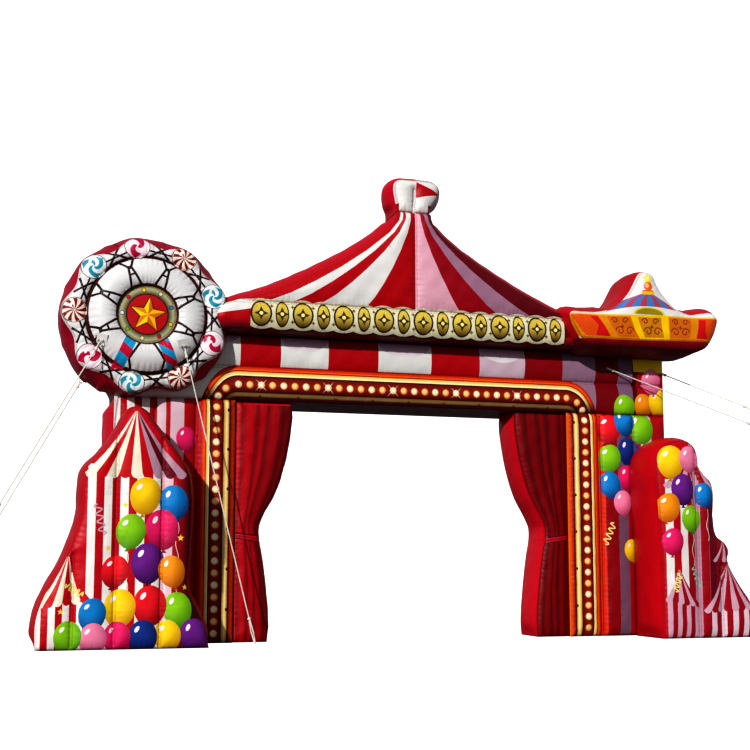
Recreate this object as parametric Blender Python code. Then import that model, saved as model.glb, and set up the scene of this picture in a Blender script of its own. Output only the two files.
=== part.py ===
"""Inflatable fairground entrance arch, about 8 m wide and 5 m high.

Coated cloth chambers, held in shape by air, stand side by side: two towers with
gathered curtains carry a two-tube header, and on the header stand a striped tent
roof, a big-wheel disc and a carousel canopy. Two cut-out wings stand in front of
the towers. Five guy ropes pull on rings that are sewn to the cloth.

X runs along the face, -Y is the front, +Z is up and the floor is z = 0.
Every outline below is drawn in the plane of the face, as (x, z).
"""
import math

import bpy
import bmesh
from mathutils import Matrix, Vector
from mathutils.bvhtree import BVHTree
from mathutils.geometry import delaunay_2d_cdt

# Driving sizes in metres
GAP = 0.0003
HALF_WIDTH = 3.13
OPENING_HALF = 1.89
SEAM_HEIGHT = 2.50
BEAM_TUBE = 0.35
BODY_DEPTH = 0.75
WING_FRONT = -0.65
TUBE_RISE = 0.06
WALL_BULGE = 0.09

# Sizes that follow from them
HEADER_TOP = SEAM_HEIGHT + 2 * BEAM_TUBE
TOWER_TUBE = (HALF_WIDTH - OPENING_HALF) / 3
FACE_Y = -(BODY_DEPTH + WING_FRONT) / 2
CONTACT_FADE = 0.16

# Guy ropes and their fittings
ROPE_R = 0.007
WIRE_R = 0.004
RING_HALF = 0.028
RING_REACH = 0.045
EYE_R = WIRE_R + ROPE_R + 0.0005
EYE_LENGTH = 0.070
KNOT_R = 0.018
PATCH = (0.110, 0.080)
PATCH_RISE = 0.006
PATCH_AHEAD = 0.014
KEEPER = (0.034, 0.018, 0.0125)

COLOURS = {
    "red": (0.62, 0.01, 0.03, 1), "white": (0.85, 0.83, 0.80, 1), "wine": (0.30, 0.01, 0.03, 1),
    "orange": (0.85, 0.32, 0.04, 1), "rope": (0.80, 0.80, 0.76, 1), "steel": (0.45, 0.45, 0.47, 1),
    "webbing": (0.30, 0.31, 0.33, 1),
}


# Scene and collections

def clear_scene():
    for obj in list(bpy.data.objects):
        bpy.data.objects.remove(obj, do_unlink=True)


def new_collection(name):
    collection = bpy.data.collections.new(name)
    bpy.context.scene.collection.children.link(collection)
    return collection


def material(name, colour, roughness=0.4, metallic=0.0):
    mat = bpy.data.materials.new(name)
    mat.use_nodes = True
    shader = mat.node_tree.nodes["Principled BSDF"]
    shader.inputs["Base Color"].default_value = COLOURS[colour]
    shader.inputs["Roughness"].default_value = roughness
    shader.inputs["Metallic"].default_value = metallic
    mat.diffuse_color = COLOURS[colour]
    return mat


def add_object(name, data, colour, roughness=0.4, metallic=0.0, cutter=False):
    obj = bpy.data.objects.new(name, data)
    (CUTTERS if cutter else ARCH).objects.link(obj)
    obj.parent = FACE
    if cutter:
        obj.hide_render = True
        obj.display_type = "WIRE"
    else:
        data.materials.append(material(name + "_cloth", colour, roughness, metallic))
    return obj


# Outlines in the plane of the face

def flipped(outline):
    return [(-x, z) for x, z in reversed(outline)]


def divided(outline, longest):
    """The outline with every side split so that no piece is longer than longest."""
    points = []
    for (x0, z0), (x1, z1) in zip(outline, outline[1:] + outline[:1]):
        steps = max(1, math.ceil(math.hypot(x1 - x0, z1 - z0) / longest - 1e-6))
        points += [(x0 + (x1 - x0) * i / steps, z0 + (z1 - z0) * i / steps) for i in range(steps)]
    return points


def rectangle(xs, zs):
    """A rectangle with outline points at the given stations along x and z."""
    bottom = [(x, zs[0]) for x in xs]
    right = [(xs[-1], z) for z in zs[1:-1]]
    top = [(x, zs[-1]) for x in reversed(xs)]
    left = [(xs[0], z) for z in reversed(zs[1:-1])]
    return bottom + right + top + left


def line_distance(x, z, line):
    (x0, z0), (x1, z1) = line
    dx, dz = x1 - x0, z1 - z0
    t = max(0.0, min(1.0, ((x - x0) * dx + (z - z0) * dz) / (dx * dx + dz * dz)))
    return math.hypot(x - x0 - t * dx, z - z0 - t * dz)


def edge_distance(x, z, outline):
    return min(line_distance(x, z, side) for side in zip(outline, outline[1:] + outline[:1]))


def inside(x, z, outline):
    crossings = 0
    for (x0, z0), (x1, z1) in zip(outline, outline[1:] + outline[:1]):
        if (z0 > z) != (z1 > z) and x < x0 + (z - z0) * (x1 - x0) / (z1 - z0):
            crossings += 1
    return crossings % 2 == 1


def grid_inside(outline, xs, zs, margin):
    """Grid points that lie inside the outline and clear of its edge."""
    return [(x, z) for x in xs for z in zs
            if inside(x, z, outline) and edge_distance(x, z, outline) > margin]


def stations(start, end, step):
    count = max(1, round((end - start) / step))
    return [start + (end - start) * i / count for i in range(count + 1)]


def tube_stations(seams):
    """Seam, shoulder, crest and shoulder of every tube between neighbouring seams."""
    marks = []
    for a, b in zip(seams, seams[1:]):
        marks += [a + (b - a) * f for f in (0, 0.18, 0.5, 0.82)]
    return marks + [seams[-1]]


# The inflated chamber

def pillow(outline, seams, reach, rise):
    """Height of the cloth over a seam plane: round crests, drawn in along seams and edge."""
    def height(x, z):
        d = min([edge_distance(x, z, outline)] + [line_distance(x, z, s) for s in seams])
        u = min(1.0, d / reach)
        return rise * math.sqrt(u * (2 - u))
    return height


def contact_fade(x, z, flats):
    """0 where the wall meets a flat neighbour or the floor, rising to 1 away from it."""
    fade = 1.0
    for axis, value in flats:
        u = min(1.0, abs((x if axis == "x" else z) - value) / CONTACT_FADE)
        fade *= u * u * (3 - 2 * u)
    return fade


def outward(outline, i):
    (x0, z0), (x1, z1) = outline[i - 1], outline[(i + 1) % len(outline)]
    length = math.hypot(x1 - x0, z1 - z0)
    return (z1 - z0) / length, -(x1 - x0) / length


def face_mesh(bm, outline, inner, creases, y, height, front):
    """One cloth face over its seam plane, and its edge vertices in outline order.

    Every crease is a line of points that the triangles never cross, such as a sewn seam."""
    count = len(outline)
    points = list(outline)
    edges = [(i, (i + 1) % count) for i in range(count)]
    for crease in creases:
        start = len(points)
        points += crease
        edges += [(i, i + 1) for i in range(start, len(points) - 1)]
    points = [Vector(p) for p in points + inner]
    verts, _, faces, origins, _, _ = delaunay_2d_cdt(points, edges, [], 1, 1e-6)
    made, edge = [], [None] * count
    for vert, origin in zip(verts, origins):
        on_edge = [i for i in origin if i < count]
        rise = 0.0 if on_edge else height(vert.x, vert.y)
        made.append(bm.verts.new((vert.x, y - rise if front else y + rise, vert.y)))
        for i in on_edge:
            edge[i] = made[-1]
    for face in faces:
        bm.faces.new([made[i] for i in face])
    return edge


def chamber_mesh(name, outline, front, back, front_height, back_height, inner, back_inner=None,
                 creases=(), bulge=WALL_BULGE, flats=(), grow=0.0):
    """A closed air chamber: front and back faces joined by a bulging wall.

    bulge is one height for the whole wall, or a function of the place. grow moves every face outwards, for a cutter that leaves a gap."""
    count = len(outline)
    bm = bmesh.new()
    near = face_mesh(bm, outline, inner, creases, front, front_height, True)
    if back_inner is None:
        far = face_mesh(bm, outline, inner, creases, back, back_height, False)
    else:
        far = face_mesh(bm, outline, back_inner, (), back, back_height, False)
    rings = [near]
    for t in (0.10, 0.30, 0.5, 0.70, 0.90):
        bow = 1 - abs(2 * t - 1) ** 2.6
        ring = []
        for i, (x, z) in enumerate(outline):
            nx, nz = outward(outline, i)
            here = bulge(x, z) if callable(bulge) else bulge
            reach = bow * here * contact_fade(x, z, flats)
            y = front + (back - front) * t
            ring.append(bm.verts.new((x + nx * reach, y, z + nz * reach)))
        rings.append(ring)
    rings.append(far)
    for a, b in zip(rings, rings[1:]):
        for i in range(count):
            j = (i + 1) % count
            bm.faces.new((a[i], a[j], b[j], b[i]))
    bmesh.ops.recalc_face_normals(bm, faces=bm.faces[:])
    bm.normal_update()
    bmesh.ops.triangulate(bm, faces=[f for f in bm.faces if len(f.verts) > 3])
    for vert in bm.verts:
        vert.co += vert.normal * vert.calc_shell_factor() * grow
    mesh = bpy.data.meshes.new(name)
    bm.to_mesh(mesh)
    bm.free()
    mesh.shade_smooth()
    return mesh


def chamber(name, colour, **shape):
    return add_object(name, chamber_mesh(name, **shape), colour)


def cut_by(obj, cutter_mesh, label):
    cutter = add_object(obj.name + "_" + label, cutter_mesh, None, cutter=True)
    cut = obj.modifiers.new(label, "BOOLEAN")
    cut.operation = "DIFFERENCE"
    cut.solver = "EXACT"
    cut.object = cutter


# Towers and header

def tower_shape(side):
    seams = [OPENING_HALF + TOWER_TUBE * i for i in range(4)]
    xs = tube_stations(seams)
    zs = [0, 0.10, 0.32, 0.86, 1.40, 1.94, 2.24, 2.41, SEAM_HEIGHT]
    if side < 0:
        seams, xs = [-s for s in reversed(seams)], [-x for x in reversed(xs)]
    outline = rectangle(xs, zs)
    lines = [((s, 0), (s, SEAM_HEIGHT)) for s in seams[1:-1]]
    height = pillow(outline, lines, TOWER_TUBE / 2, TUBE_RISE)
    inner = [(x, z) for x in xs[1:-1] for z in zs[1:-1]]
    return dict(outline=outline, front=0, back=BODY_DEPTH, front_height=height, back_height=height,
                inner=inner, flats=(("x", side * OPENING_HALF), ("z", 0), ("z", SEAM_HEIGHT)))


def header_shape():
    seams = [SEAM_HEIGHT + GAP, SEAM_HEIGHT + BEAM_TUBE, HEADER_TOP]
    zs = tube_stations(seams)
    ends = (0, 0.07, 0.22)
    xs = [-HALF_WIDTH + e for e in ends] + stations(-2.5, 2.5, 0.72) + [HALF_WIDTH - e for e in reversed(ends)]
    outline = rectangle(xs, zs)
    line = ((-HALF_WIDTH, seams[1]), (HALF_WIDTH, seams[1]))
    height = pillow(outline, [line], BEAM_TUBE / 2, TUBE_RISE)
    inner = [(x, z) for x in xs[1:-1] for z in zs[1:-1]]
    return dict(outline=outline, front=0, back=BODY_DEPTH, front_height=height, back_height=height,
                inner=inner, flats=(("z", seams[0]), ("z", seams[-1])))


# Tent roof and its top block

ROOF_FRONT, ROOF_BACK = -0.25, 0.25
ROOF_NECK = 4.60
EAVE_SEAM = 3.50


def roof_shape():
    half = [(0, HEADER_TOP + GAP), (1.0, HEADER_TOP + GAP), (2.08, HEADER_TOP + GAP), (2.17, 3.30),
            (2.14, 3.42), (1.95, 3.51), (1.66, 3.61), (1.33, 3.76), (1.00, 3.93), (0.66, 4.13),
            (0.35, 4.35), (0.22, 4.49), (0.19, ROOF_NECK), (0, ROOF_NECK)]
    outline = divided(half + [(-x, z) for x, z in reversed(half[1:-1])], 0.22)
    eave = ((-2.2, EAVE_SEAM), (2.2, EAVE_SEAM))
    middle = ((0, EAVE_SEAM), (0, ROOF_NECK))
    full = pillow(outline, [], 0.15, 0.09)
    high = pillow(outline, [eave, middle], 0.32, 0.12)
    low = pillow(outline, [eave], 0.15, 0.09)

    def height(x, z):
        """The seams draw the cloth in by half, because they are sewn to short inner webs."""
        drawn = low(x, z) if z < EAVE_SEAM else high(x, z)
        return 0.5 * (full(x, z) + drawn)

    creases = [[(x, EAVE_SEAM) for x in stations(-1.92, 1.92, 0.24)],
               [(0, z) for z in (EAVE_SEAM, 3.60, 3.75, 3.96, 4.17, 4.35, 4.50)]]
    band = grid_inside(outline, stations(-2.0, 2.0, 0.2), [3.26, 3.35, 3.44], 0.035)
    slope_xs = stations(-1.92, -0.24, 0.24) + [-0.08, 0.08] + stations(0.24, 1.92, 0.24)
    slope_zs = [3.56, 3.66, 3.80, 3.96, 4.13, 4.30, 4.46]
    back_zs = [3.35, EAVE_SEAM, 3.66, 3.90, 4.20]
    return dict(outline=outline, front=ROOF_FRONT, back=ROOF_BACK, front_height=height, back_height=height,
                inner=band + grid_inside(outline, slope_xs, slope_zs, 0.03),
                back_inner=grid_inside(outline, stations(-2.0, 2.0, 0.25), back_zs, 0.05), creases=creases,
                flats=(("z", HEADER_TOP + GAP), ("z", ROOF_NECK)))


def top_block_shape():
    """The flared block on the roof's neck, a little right of the middle at its top."""
    right = [(0.19, ROOF_NECK + GAP), (0.20, 4.67), (0.26, 4.76), (0.30, 4.86), (0.29, 4.93), (0.23, 4.97)]
    left = [(-0.16, 4.97), (-0.21, 4.93), (-0.22, 4.86), (-0.205, 4.76), (-0.19, 4.67), (-0.19, ROOF_NECK + GAP)]
    outline = right + [(0.10, 4.98), (-0.03, 4.98)] + left
    middle = ((0.0, ROOF_NECK), (0.01, 4.88))
    height = pillow(outline, [middle], 0.14, 0.07)
    xs = [-0.14, -0.07, 0.0, 0.08, 0.16, 0.24]
    zs = [4.65, 4.72, 4.79, 4.86, 4.93]
    return dict(outline=outline, front=-0.20, back=0.20, front_height=height, back_height=height,
                inner=grid_inside(outline, xs, zs, 0.03), bulge=0.06, flats=(("z", ROOF_NECK + GAP),))


# Big wheel

WHEEL_X, WHEEL_Z = -2.85, 3.29
WHEEL_FRONT, WHEEL_BACK = -0.25, 0.35
WHEEL_RIM = 0.78
WHEEL_LOBE = 0.042
WHEEL_LOBES = 9
WHEEL_SLACK = 0.02
WHEEL_WAIST = 0.858
RING_SEAM_R = 0.60
HUB_R = 0.29


def wheel_rim(angle):
    """Nine lobes on a circle that its own weight makes a little wider than high."""
    lobes = WHEEL_LOBE * math.cos(WHEEL_LOBES * (angle - math.radians(99)))
    return WHEEL_RIM + lobes + WHEEL_SLACK * math.cos(2 * angle)


def wheel_height(x, z):
    """Raised hub disc, a fat round tube about it, and a thinner lobed tube outside the ring seam."""
    r = math.hypot(x - WHEEL_X, z - WHEEL_Z)
    if r <= HUB_R:
        return 0.085 + 0.015 * (1 - (r / HUB_R) ** 2)
    if r <= RING_SEAM_R:
        u = (r - HUB_R) / (RING_SEAM_R - HUB_R)
        return 0.075 * (1 - u) + 0.015 * u + 0.11 * math.sqrt(max(0.0, 1 - (2 * u - 1) ** 2))
    rim = wheel_rim(math.atan2(z - WHEEL_Z, x - WHEEL_X))
    u = min(1.0, (r - RING_SEAM_R) / (rim - RING_SEAM_R))
    return 0.015 * (1 - u) + 0.055 * math.sqrt(max(0.0, 1 - (2 * u - 1) ** 2))


def wheel_bulge(x, z):
    """The side wall pulls itself nearly round between its lobed edges, and lies flat over the tower."""
    flat = min(1.0, max(0.0, (WHEEL_Z - 0.55 - z) / 0.15)) * min(1.0, max(0.0, (x - WHEEL_X + 0.35) / 0.2))
    return max(0.01, WHEEL_WAIST - math.hypot(x - WHEEL_X, z - WHEEL_Z)) * (1 - flat)


def wheel_ring(radius, count, offset=0.0):
    """Points about the wheel's centre, at a radius or at a share of the way out to the rim."""
    points = []
    for i in range(count):
        a = math.tau * (i + offset) / count
        r = radius if radius < 1 else RING_SEAM_R + (wheel_rim(a) - RING_SEAM_R) * (radius - 1)
        points.append((WHEEL_X + r * math.cos(a), WHEEL_Z + r * math.sin(a)))
    return points


def wheel_shape():
    outline = wheel_ring(2.0, 54)
    inner = [(WHEEL_X, WHEEL_Z)]
    for radius, count in ((0.20, 12), (0.325, 24), (0.38, 24), (0.445, 24), (0.51, 24), (0.565, 24), (1.35, 36)):
        inner += wheel_ring(radius, count)
    creases = [wheel_ring(radius, 24) for radius in (HUB_R, RING_SEAM_R)]
    back_height = pillow(outline, [], 0.30, 0.10)
    back_inner = [(WHEEL_X, WHEEL_Z)] + wheel_ring(0.35, 9) + wheel_ring(0.60, 18)
    return dict(outline=outline, front=WHEEL_FRONT, back=WHEEL_BACK, front_height=wheel_height,
                back_height=back_height, inner=inner, back_inner=back_inner, creases=creases, bulge=wheel_bulge)


# Carousel canopy

CANOPY_FRONT, CANOPY_BACK = -0.45, 0.20


def canopy_bulge(x, z):
    """The wall is fullest along the top, on both sides of the peak, and thin at the lower right."""
    top = min(1.0, max(0.0, (z - 3.53) / 0.05)) * min(1.0, max(0.0, (abs(x - 2.66) - 0.38) / 0.15))
    low = min(1.0, max(0.0, (x - 3.20) / 0.2)) * min(1.0, max(0.0, (3.55 - z) / 0.1))
    return 0.04 + 0.06 * top - 0.035 * low


def canopy_shape():
    bottom = HEADER_TOP - 0.01
    outline = [(x, bottom) for x in (1.98, 2.20, 2.42, 2.64, 2.86, 3.08, 3.28)]
    outline += [(3.42, 3.24), (3.50, 3.34),
               (3.56, 3.47), (3.58, 3.59), (3.52, 3.65), (3.40, 3.645), (3.23, 3.62), (3.04, 3.69),
               (2.89, 3.83), (2.81, 3.95), (2.77, 4.04), (2.69, 4.08), (2.61, 4.06), (2.55, 3.97),
               (2.47, 3.83), (2.36, 3.71), (2.21, 3.62), (2.05, 3.585), (1.90, 3.58), (1.75, 3.56),
               (1.76, 3.46), (1.82, 3.34), (1.89, 3.24)]
    height = pillow(outline, [], 0.18, 0.10)
    xs = stations(1.90, 3.46, 0.195)
    zs = [3.26, 3.34, 3.45, 3.56, 3.68, 3.81, 3.94]
    return dict(outline=outline, front=CANOPY_FRONT, back=CANOPY_BACK, front_height=height,
                back_height=height, inner=grid_inside(outline, xs, zs, 0.04), bulge=canopy_bulge,
                back_inner=grid_inside(outline, xs[::2], zs[::2], 0.05))


# Tent wings in front of the towers

WING_BACK = -(TUBE_RISE + GAP)
WING_REACH = 3.89
WING_BULGE = 0.05
WING_OUTER = WING_REACH - WING_BULGE


def wing_shape(outline, seams, floor_seams):
    points = divided(outline, 0.25)
    top = max(z for _, z in outline)
    lines = [((x, 0), (x, top)) for x in seams] + [((x, 0), (x, z)) for x, z in floor_seams]
    height = pillow(points, lines, 0.20, TUBE_RISE)
    low, high = min(x for x, _ in outline), max(x for x, _ in outline)
    marks = sorted([low] + list(seams) + [x for x, _ in floor_seams] + [high])
    xs = tube_stations(marks)
    zs = [0.08, 0.22, 0.42, 0.66, 0.90, 1.14, 1.38, 1.60, 1.78, 1.94, 2.08, 2.20]
    creases = [grid_inside(points, [x], zs, 0.035) for x in seams]
    creases += [[(x, z) for z in zs if z <= top_z] for x, top_z in floor_seams]
    return dict(outline=points, front=WING_FRONT, back=WING_BACK, front_height=height,
                back_height=lambda x, z: 0.0, inner=grid_inside(points, xs, zs, 0.035),
                back_inner=[], creases=creases, bulge=WING_BULGE, flats=(("z", 0),))


def left_wing_shape():
    outline = [(-2.225, 0), (-2.27, 0.20), (-2.37, 0.41), (-2.44, 0.56), (-2.43, 0.95), (-2.42, 1.50),
               (-2.46, 1.70), (-2.54, 1.83), (-2.66, 1.98), (-2.78, 2.14), (-2.86, 2.25), (-2.93, 2.29),
               (-2.99, 2.28), (-3.12, 2.07), (-3.27, 1.86), (-3.42, 1.69), (-3.44, 1.58), (-3.45, 1.28),
               (-3.51, 1.06), (-3.60, 0.82), (-3.73, 0.58), (-3.80, 0.42), (-WING_OUTER, 0.26), (-WING_OUTER, 0)]
    return wing_shape(outline, (-3.13, -2.70), ((-3.52, 0.9),))


def right_wing_shape():
    outline = [(2.68, 0), (2.68, 0.90), (2.65, 1.50), (2.645, 1.94), (2.70, 2.05), (2.83, 2.13),
               (2.98, 2.155), (3.10, 2.10), (3.15, 2.00), (3.165, 1.87), (3.24, 1.77), (3.31, 1.70),
               (3.335, 1.60), (3.325, 1.30), (3.36, 1.11), (3.47, 1.02), (3.505, 0.95), (3.49, 0.84),
               (3.53, 0.74), (3.64, 0.56), (3.74, 0.42), (3.80, 0.32), (WING_OUTER, 0.22), (WING_OUTER, 0)]
    return wing_shape(outline[::-1], (3.12,), ((3.40, 0.80),))


# Curtains inside the opening

CURTAIN_FRONT, CURTAIN_BACK = 0.05, 0.50
CURTAIN_EDGE = [(1.52, 0), (1.51, 0.14), (1.54, 0.54), (1.59, 0.91), (1.62, 1.07), (1.62, 1.21),
                (1.57, 1.33), (1.45, 1.55), (1.36, 1.82), (1.29, 2.18), (1.27, 2.41),
                (1.28, SEAM_HEIGHT - GAP)]


def curtain_shape(side):
    outer = OPENING_HALF - GAP
    outline = [(outer, z) for z in (0, 0.5, 1.1, 1.7, 2.2, SEAM_HEIGHT - GAP)] + CURTAIN_EDGE[::-1]
    if side < 0:
        outline = flipped(outline)
    height = pillow(outline, [], 0.16, 0.045)
    xs = [side * x for x in (1.38, 1.50, 1.60, 1.70, 1.80)]
    zs = [0.12, 0.45, 0.85, 1.12, 1.40, 1.80, 2.15, 2.38]
    return dict(outline=outline, front=CURTAIN_FRONT, back=CURTAIN_BACK, front_height=height,
                back_height=height, inner=grid_inside(outline, xs, zs, 0.035), bulge=0.035,
                flats=(("x", side * outer), ("z", 0), ("z", SEAM_HEIGHT - GAP)))


# Guy ropes: patch and ring on the cloth, rope with an eye at each end

ROPES = [
    # name, chamber with the ring, point off the cloth, way into the cloth, far end, far eye's length
    ("a", "wheel", (-3.29, -0.8, 3.00), (0, 1, 0), (-4.22, -1.20, 1.27), EYE_LENGTH),
    ("b", "wheel", (-3.75, 0.15, 2.35), (0.68, 0, 0.73), (-4.22, -1.05, 1.17), EYE_LENGTH),
    ("c", "wheel", (-2.49, -0.8, 2.98), (0, 1, 0), (-1.72, -0.34, 0.025), 0.24),
    ("d", "header", (2.34, -0.8, 3.035), (0, 1, 0), (4.06, -0.40, 2.385), EYE_LENGTH),
    ("e", "header", (3.80, 0.27, 3.07), (-1, 0, 0), (4.12, -0.25, 2.60), EYE_LENGTH),
]


def anchor_frame(host, start, inwards, far):
    """Local frame on the cloth: z out of the cloth, y along the rope's pull, x along the ring's bar."""
    graph = bpy.context.evaluated_depsgraph_get()
    tree = BVHTree.FromObject(host, graph)
    point, normal, _, _ = tree.ray_cast(Vector(start), Vector(inwards).normalized())
    pull = (Vector(far) - point)
    along = (pull - normal * pull.dot(normal)).normalized()
    bar = along.cross(normal)
    return Matrix.Translation(point) @ Matrix((bar, along, normal)).transposed().to_4x4()


def block(bm, size, centre):
    made = bmesh.ops.create_cube(bm, size=1.0)
    bmesh.ops.scale(bm, verts=made["verts"], vec=size)
    bmesh.ops.translate(bm, verts=made["verts"], vec=centre)
    return made["verts"]


def mesh_from(bm, name):
    mesh = bpy.data.meshes.new(name)
    bm.to_mesh(mesh)
    bm.free()
    return mesh


def evaluated_mesh(obj, name):
    """A mesh copy of an object with its modifiers applied and its seams welded."""
    graph = bpy.context.evaluated_depsgraph_get()
    mesh = bpy.data.meshes.new_from_object(obj.evaluated_get(graph), depsgraph=graph)
    mesh.name = name
    bm = bmesh.new()
    bm.from_mesh(mesh)
    bmesh.ops.remove_doubles(bm, verts=bm.verts[:], dist=0.00001)
    bm.to_mesh(mesh)
    bm.free()
    return mesh


def anchor_patch(name, place, host_shape):
    """Sewn patch with the keeper that holds the ring's bar; its back follows the cloth."""
    bm = bmesh.new()
    depth = 0.05
    behind = PATCH_AHEAD - PATCH[1] / 2
    block(bm, (PATCH[0], PATCH[1], PATCH_RISE + depth), (0, behind, (PATCH_RISE - depth) / 2))
    patch = add_object(name, mesh_from(bm, name), "webbing", 0.8)
    patch.matrix_local = place
    bm = bmesh.new()
    overlap = 0.002
    block(bm, (KEEPER[0], KEEPER[1], KEEPER[2] + overlap), (0, 0, PATCH_RISE + (KEEPER[2] - overlap) / 2))
    keeper = add_object(name + "_keeper", mesh_from(bm, name + "_keeper"), None, cutter=True)
    keeper.matrix_local = place
    join = patch.modifiers.new("keeper", "BOOLEAN")
    join.operation = "UNION"
    join.object = keeper
    bm = bmesh.new()
    bore = bmesh.ops.create_cone(bm, segments=12, radius1=WIRE_R + 0.0006, radius2=WIRE_R + 0.0006,
                                 depth=2 * KEEPER[0], cap_ends=True)
    bmesh.ops.rotate(bm, verts=bore["verts"], cent=(0, 0, 0), matrix=Matrix.Rotation(math.pi / 2, 3, "Y"))
    bmesh.ops.translate(bm, verts=bore["verts"], vec=(0, 0, PATCH_RISE + KEEPER[2] / 2))
    hole = add_object(name + "_bore", mesh_from(bm, name + "_bore"), None, cutter=True)
    hole.matrix_local = place
    cut = patch.modifiers.new("bore", "BOOLEAN")
    cut.operation = "DIFFERENCE"
    cut.object = hole
    cut_by(patch, chamber_mesh(name + "_cloth", grow=GAP, **host_shape), "cloth")


def tube(name, points, radius, colour, closed=False, metallic=0.0, roughness=0.8, sides=2, place=None):
    curve = bpy.data.curves.new(name, "CURVE")
    curve.dimensions = "3D"
    curve.bevel_depth = radius
    curve.bevel_resolution = sides
    curve.use_fill_caps = not closed
    spline = curve.splines.new("POLY")
    spline.points.add(len(points) - 1)
    for item, point in zip(spline.points, points):
        item.co = (*point, 1)
    spline.use_cyclic_u = closed
    obj = add_object(name, curve, colour, roughness, metallic)
    if place is not None:
        obj.matrix_local = place
    return obj


def ring_points():
    """D-shaped ring in its own plane: bar along x, bow towards +y."""
    corner = 0.008
    bar = [(-RING_HALF + corner, 0, 0), (RING_HALF - corner, 0, 0), (RING_HALF - 0.002, 0.003, 0)]
    bow = []
    for i in range(9):
        a = math.pi * i / 8
        bow.append((RING_HALF * math.cos(a), 0.014 + (RING_REACH - 0.014) * math.sin(a), 0))
    return bar + bow + [(-RING_HALF + 0.002, 0.003, 0)]


def eye_points(length):
    """Rope eye in the y-z plane of the rope's frame: round the origin, legs towards +y."""
    turn = []
    for i in range(7):
        a = math.pi * (1 + i / 6)
        turn.append((0, EYE_R * math.sin(a), EYE_R * math.cos(a)))
    bow = EYE_R + 0.1 * (length - EYE_LENGTH)
    legs = [(0, length * 0.45, bow), (0, length, ROPE_R * 1.06)]
    return [(0, y, -z) for _, y, z in reversed(legs)] + turn + legs


def rope_eye(name, place, length):
    """An eye whose two legs run into a round knot, as one piece of rope."""
    legs = tube(name + "_legs", eye_points(length), ROPE_R, "rope", sides=1)
    mesh = evaluated_mesh(legs, name)
    bpy.data.objects.remove(legs, do_unlink=True)
    eye = add_object(name, mesh, "rope", 0.8)
    mesh.materials.clear()
    mesh.materials.append(material(name + "_rope", "rope", 0.8))
    eye.matrix_local = place
    bm = bmesh.new()
    bmesh.ops.create_uvsphere(bm, u_segments=8, v_segments=6, radius=KNOT_R)
    knot = add_object(name + "_knot", mesh_from(bm, name + "_knot"), None, cutter=True)
    knot.matrix_local = place @ Matrix.Translation((0, length, 0))
    join = eye.modifiers.new("knot", "BOOLEAN")
    join.operation = "UNION"
    join.object = knot
    return eye


def frame_along(origin, direction, side):
    """Frame at origin with y along direction and x as near to side as it can be."""
    y = direction.normalized()
    z = side.cross(y).normalized()
    x = y.cross(z)
    return Matrix.Translation(origin) @ Matrix((x, y, z)).transposed().to_4x4()


def guy_rope(row, hosts):
    letter, host, start, inwards, far, far_length = row
    obj, shape = hosts[host]
    place = anchor_frame(obj, start, inwards, far)
    anchor_patch("patch_" + letter, place, shape)
    bar_centre = place @ Vector((0, 0, PATCH_RISE + KEEPER[2] / 2))
    pull = (Vector(far) - bar_centre).normalized()
    bar = place.to_3x3() @ Vector((1, 0, 0))
    ring = frame_along(bar_centre, pull, bar)
    tube("ring_" + letter, ring_points(), WIRE_R, "steel", closed=True, metallic=1.0, roughness=0.35,
         sides=1, place=ring)
    near = ring @ Matrix.Translation((0, RING_REACH, 0))
    rope_eye("eye_" + letter, near, EYE_LENGTH)
    far_place = frame_along(Vector(far), -pull, bar)
    rope_eye("end_" + letter, far_place, far_length)
    first = near @ Vector((0, EYE_LENGTH + KNOT_R + GAP, 0))
    last = far_place @ Vector((0, far_length + KNOT_R + GAP, 0))
    steps = 12
    tube("rope_" + letter, [first.lerp(last, i / steps) for i in range(steps + 1)], ROPE_R, "rope")


# Assembly

clear_scene()
ARCH = new_collection("inflatable_arch")
CUTTERS = new_collection("cutters")
FACE = bpy.data.objects.new("face_of_the_arch", None)
ARCH.objects.link(FACE)
FACE.location = (0, FACE_Y, 0)


def build():
    shapes = {"tower_left": tower_shape(-1), "tower_right": tower_shape(1), "header": header_shape(),
              "roof": roof_shape(), "top_block": top_block_shape(), "wheel": wheel_shape(),
              "canopy": canopy_shape(), "wing_left": left_wing_shape(), "wing_right": right_wing_shape(),
              "curtain_left": curtain_shape(-1), "curtain_right": curtain_shape(1)}
    colours = {"header": "wine", "top_block": "white", "wheel": "white", "canopy": "orange",
               "curtain_left": "wine", "curtain_right": "wine"}
    hosts = {}
    for name, shape in shapes.items():
        hosts[name] = (chamber(name, colours.get(name, "red"), **shape), shape)
    for name, neighbours in (("wheel", ("header", "tower_left", "roof")), ("canopy", ("header", "roof"))):
        for other in neighbours:
            cutter = chamber_mesh(name + "_clear_of_" + other, grow=GAP, **shapes[other])
            cut_by(hosts[name][0], cutter, other)
    bpy.context.view_layer.update()
    for row in ROPES:
        guy_rope(row, hosts)


build()
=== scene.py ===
# %% [markdown]
# # An inflatable fairground arch
# The real arch is sewn from PVC-coated polyester, printed before it is cut, and held in
# shape by air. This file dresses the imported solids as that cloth: taut faces drawn in
# along their seams, small pleats beside every seam, and prints with clean edges.

# %% Load the frame
import math

import bpy
import numpy as np
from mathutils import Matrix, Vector
from mathutils.geometry import delaunay_2d_cdt


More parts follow.
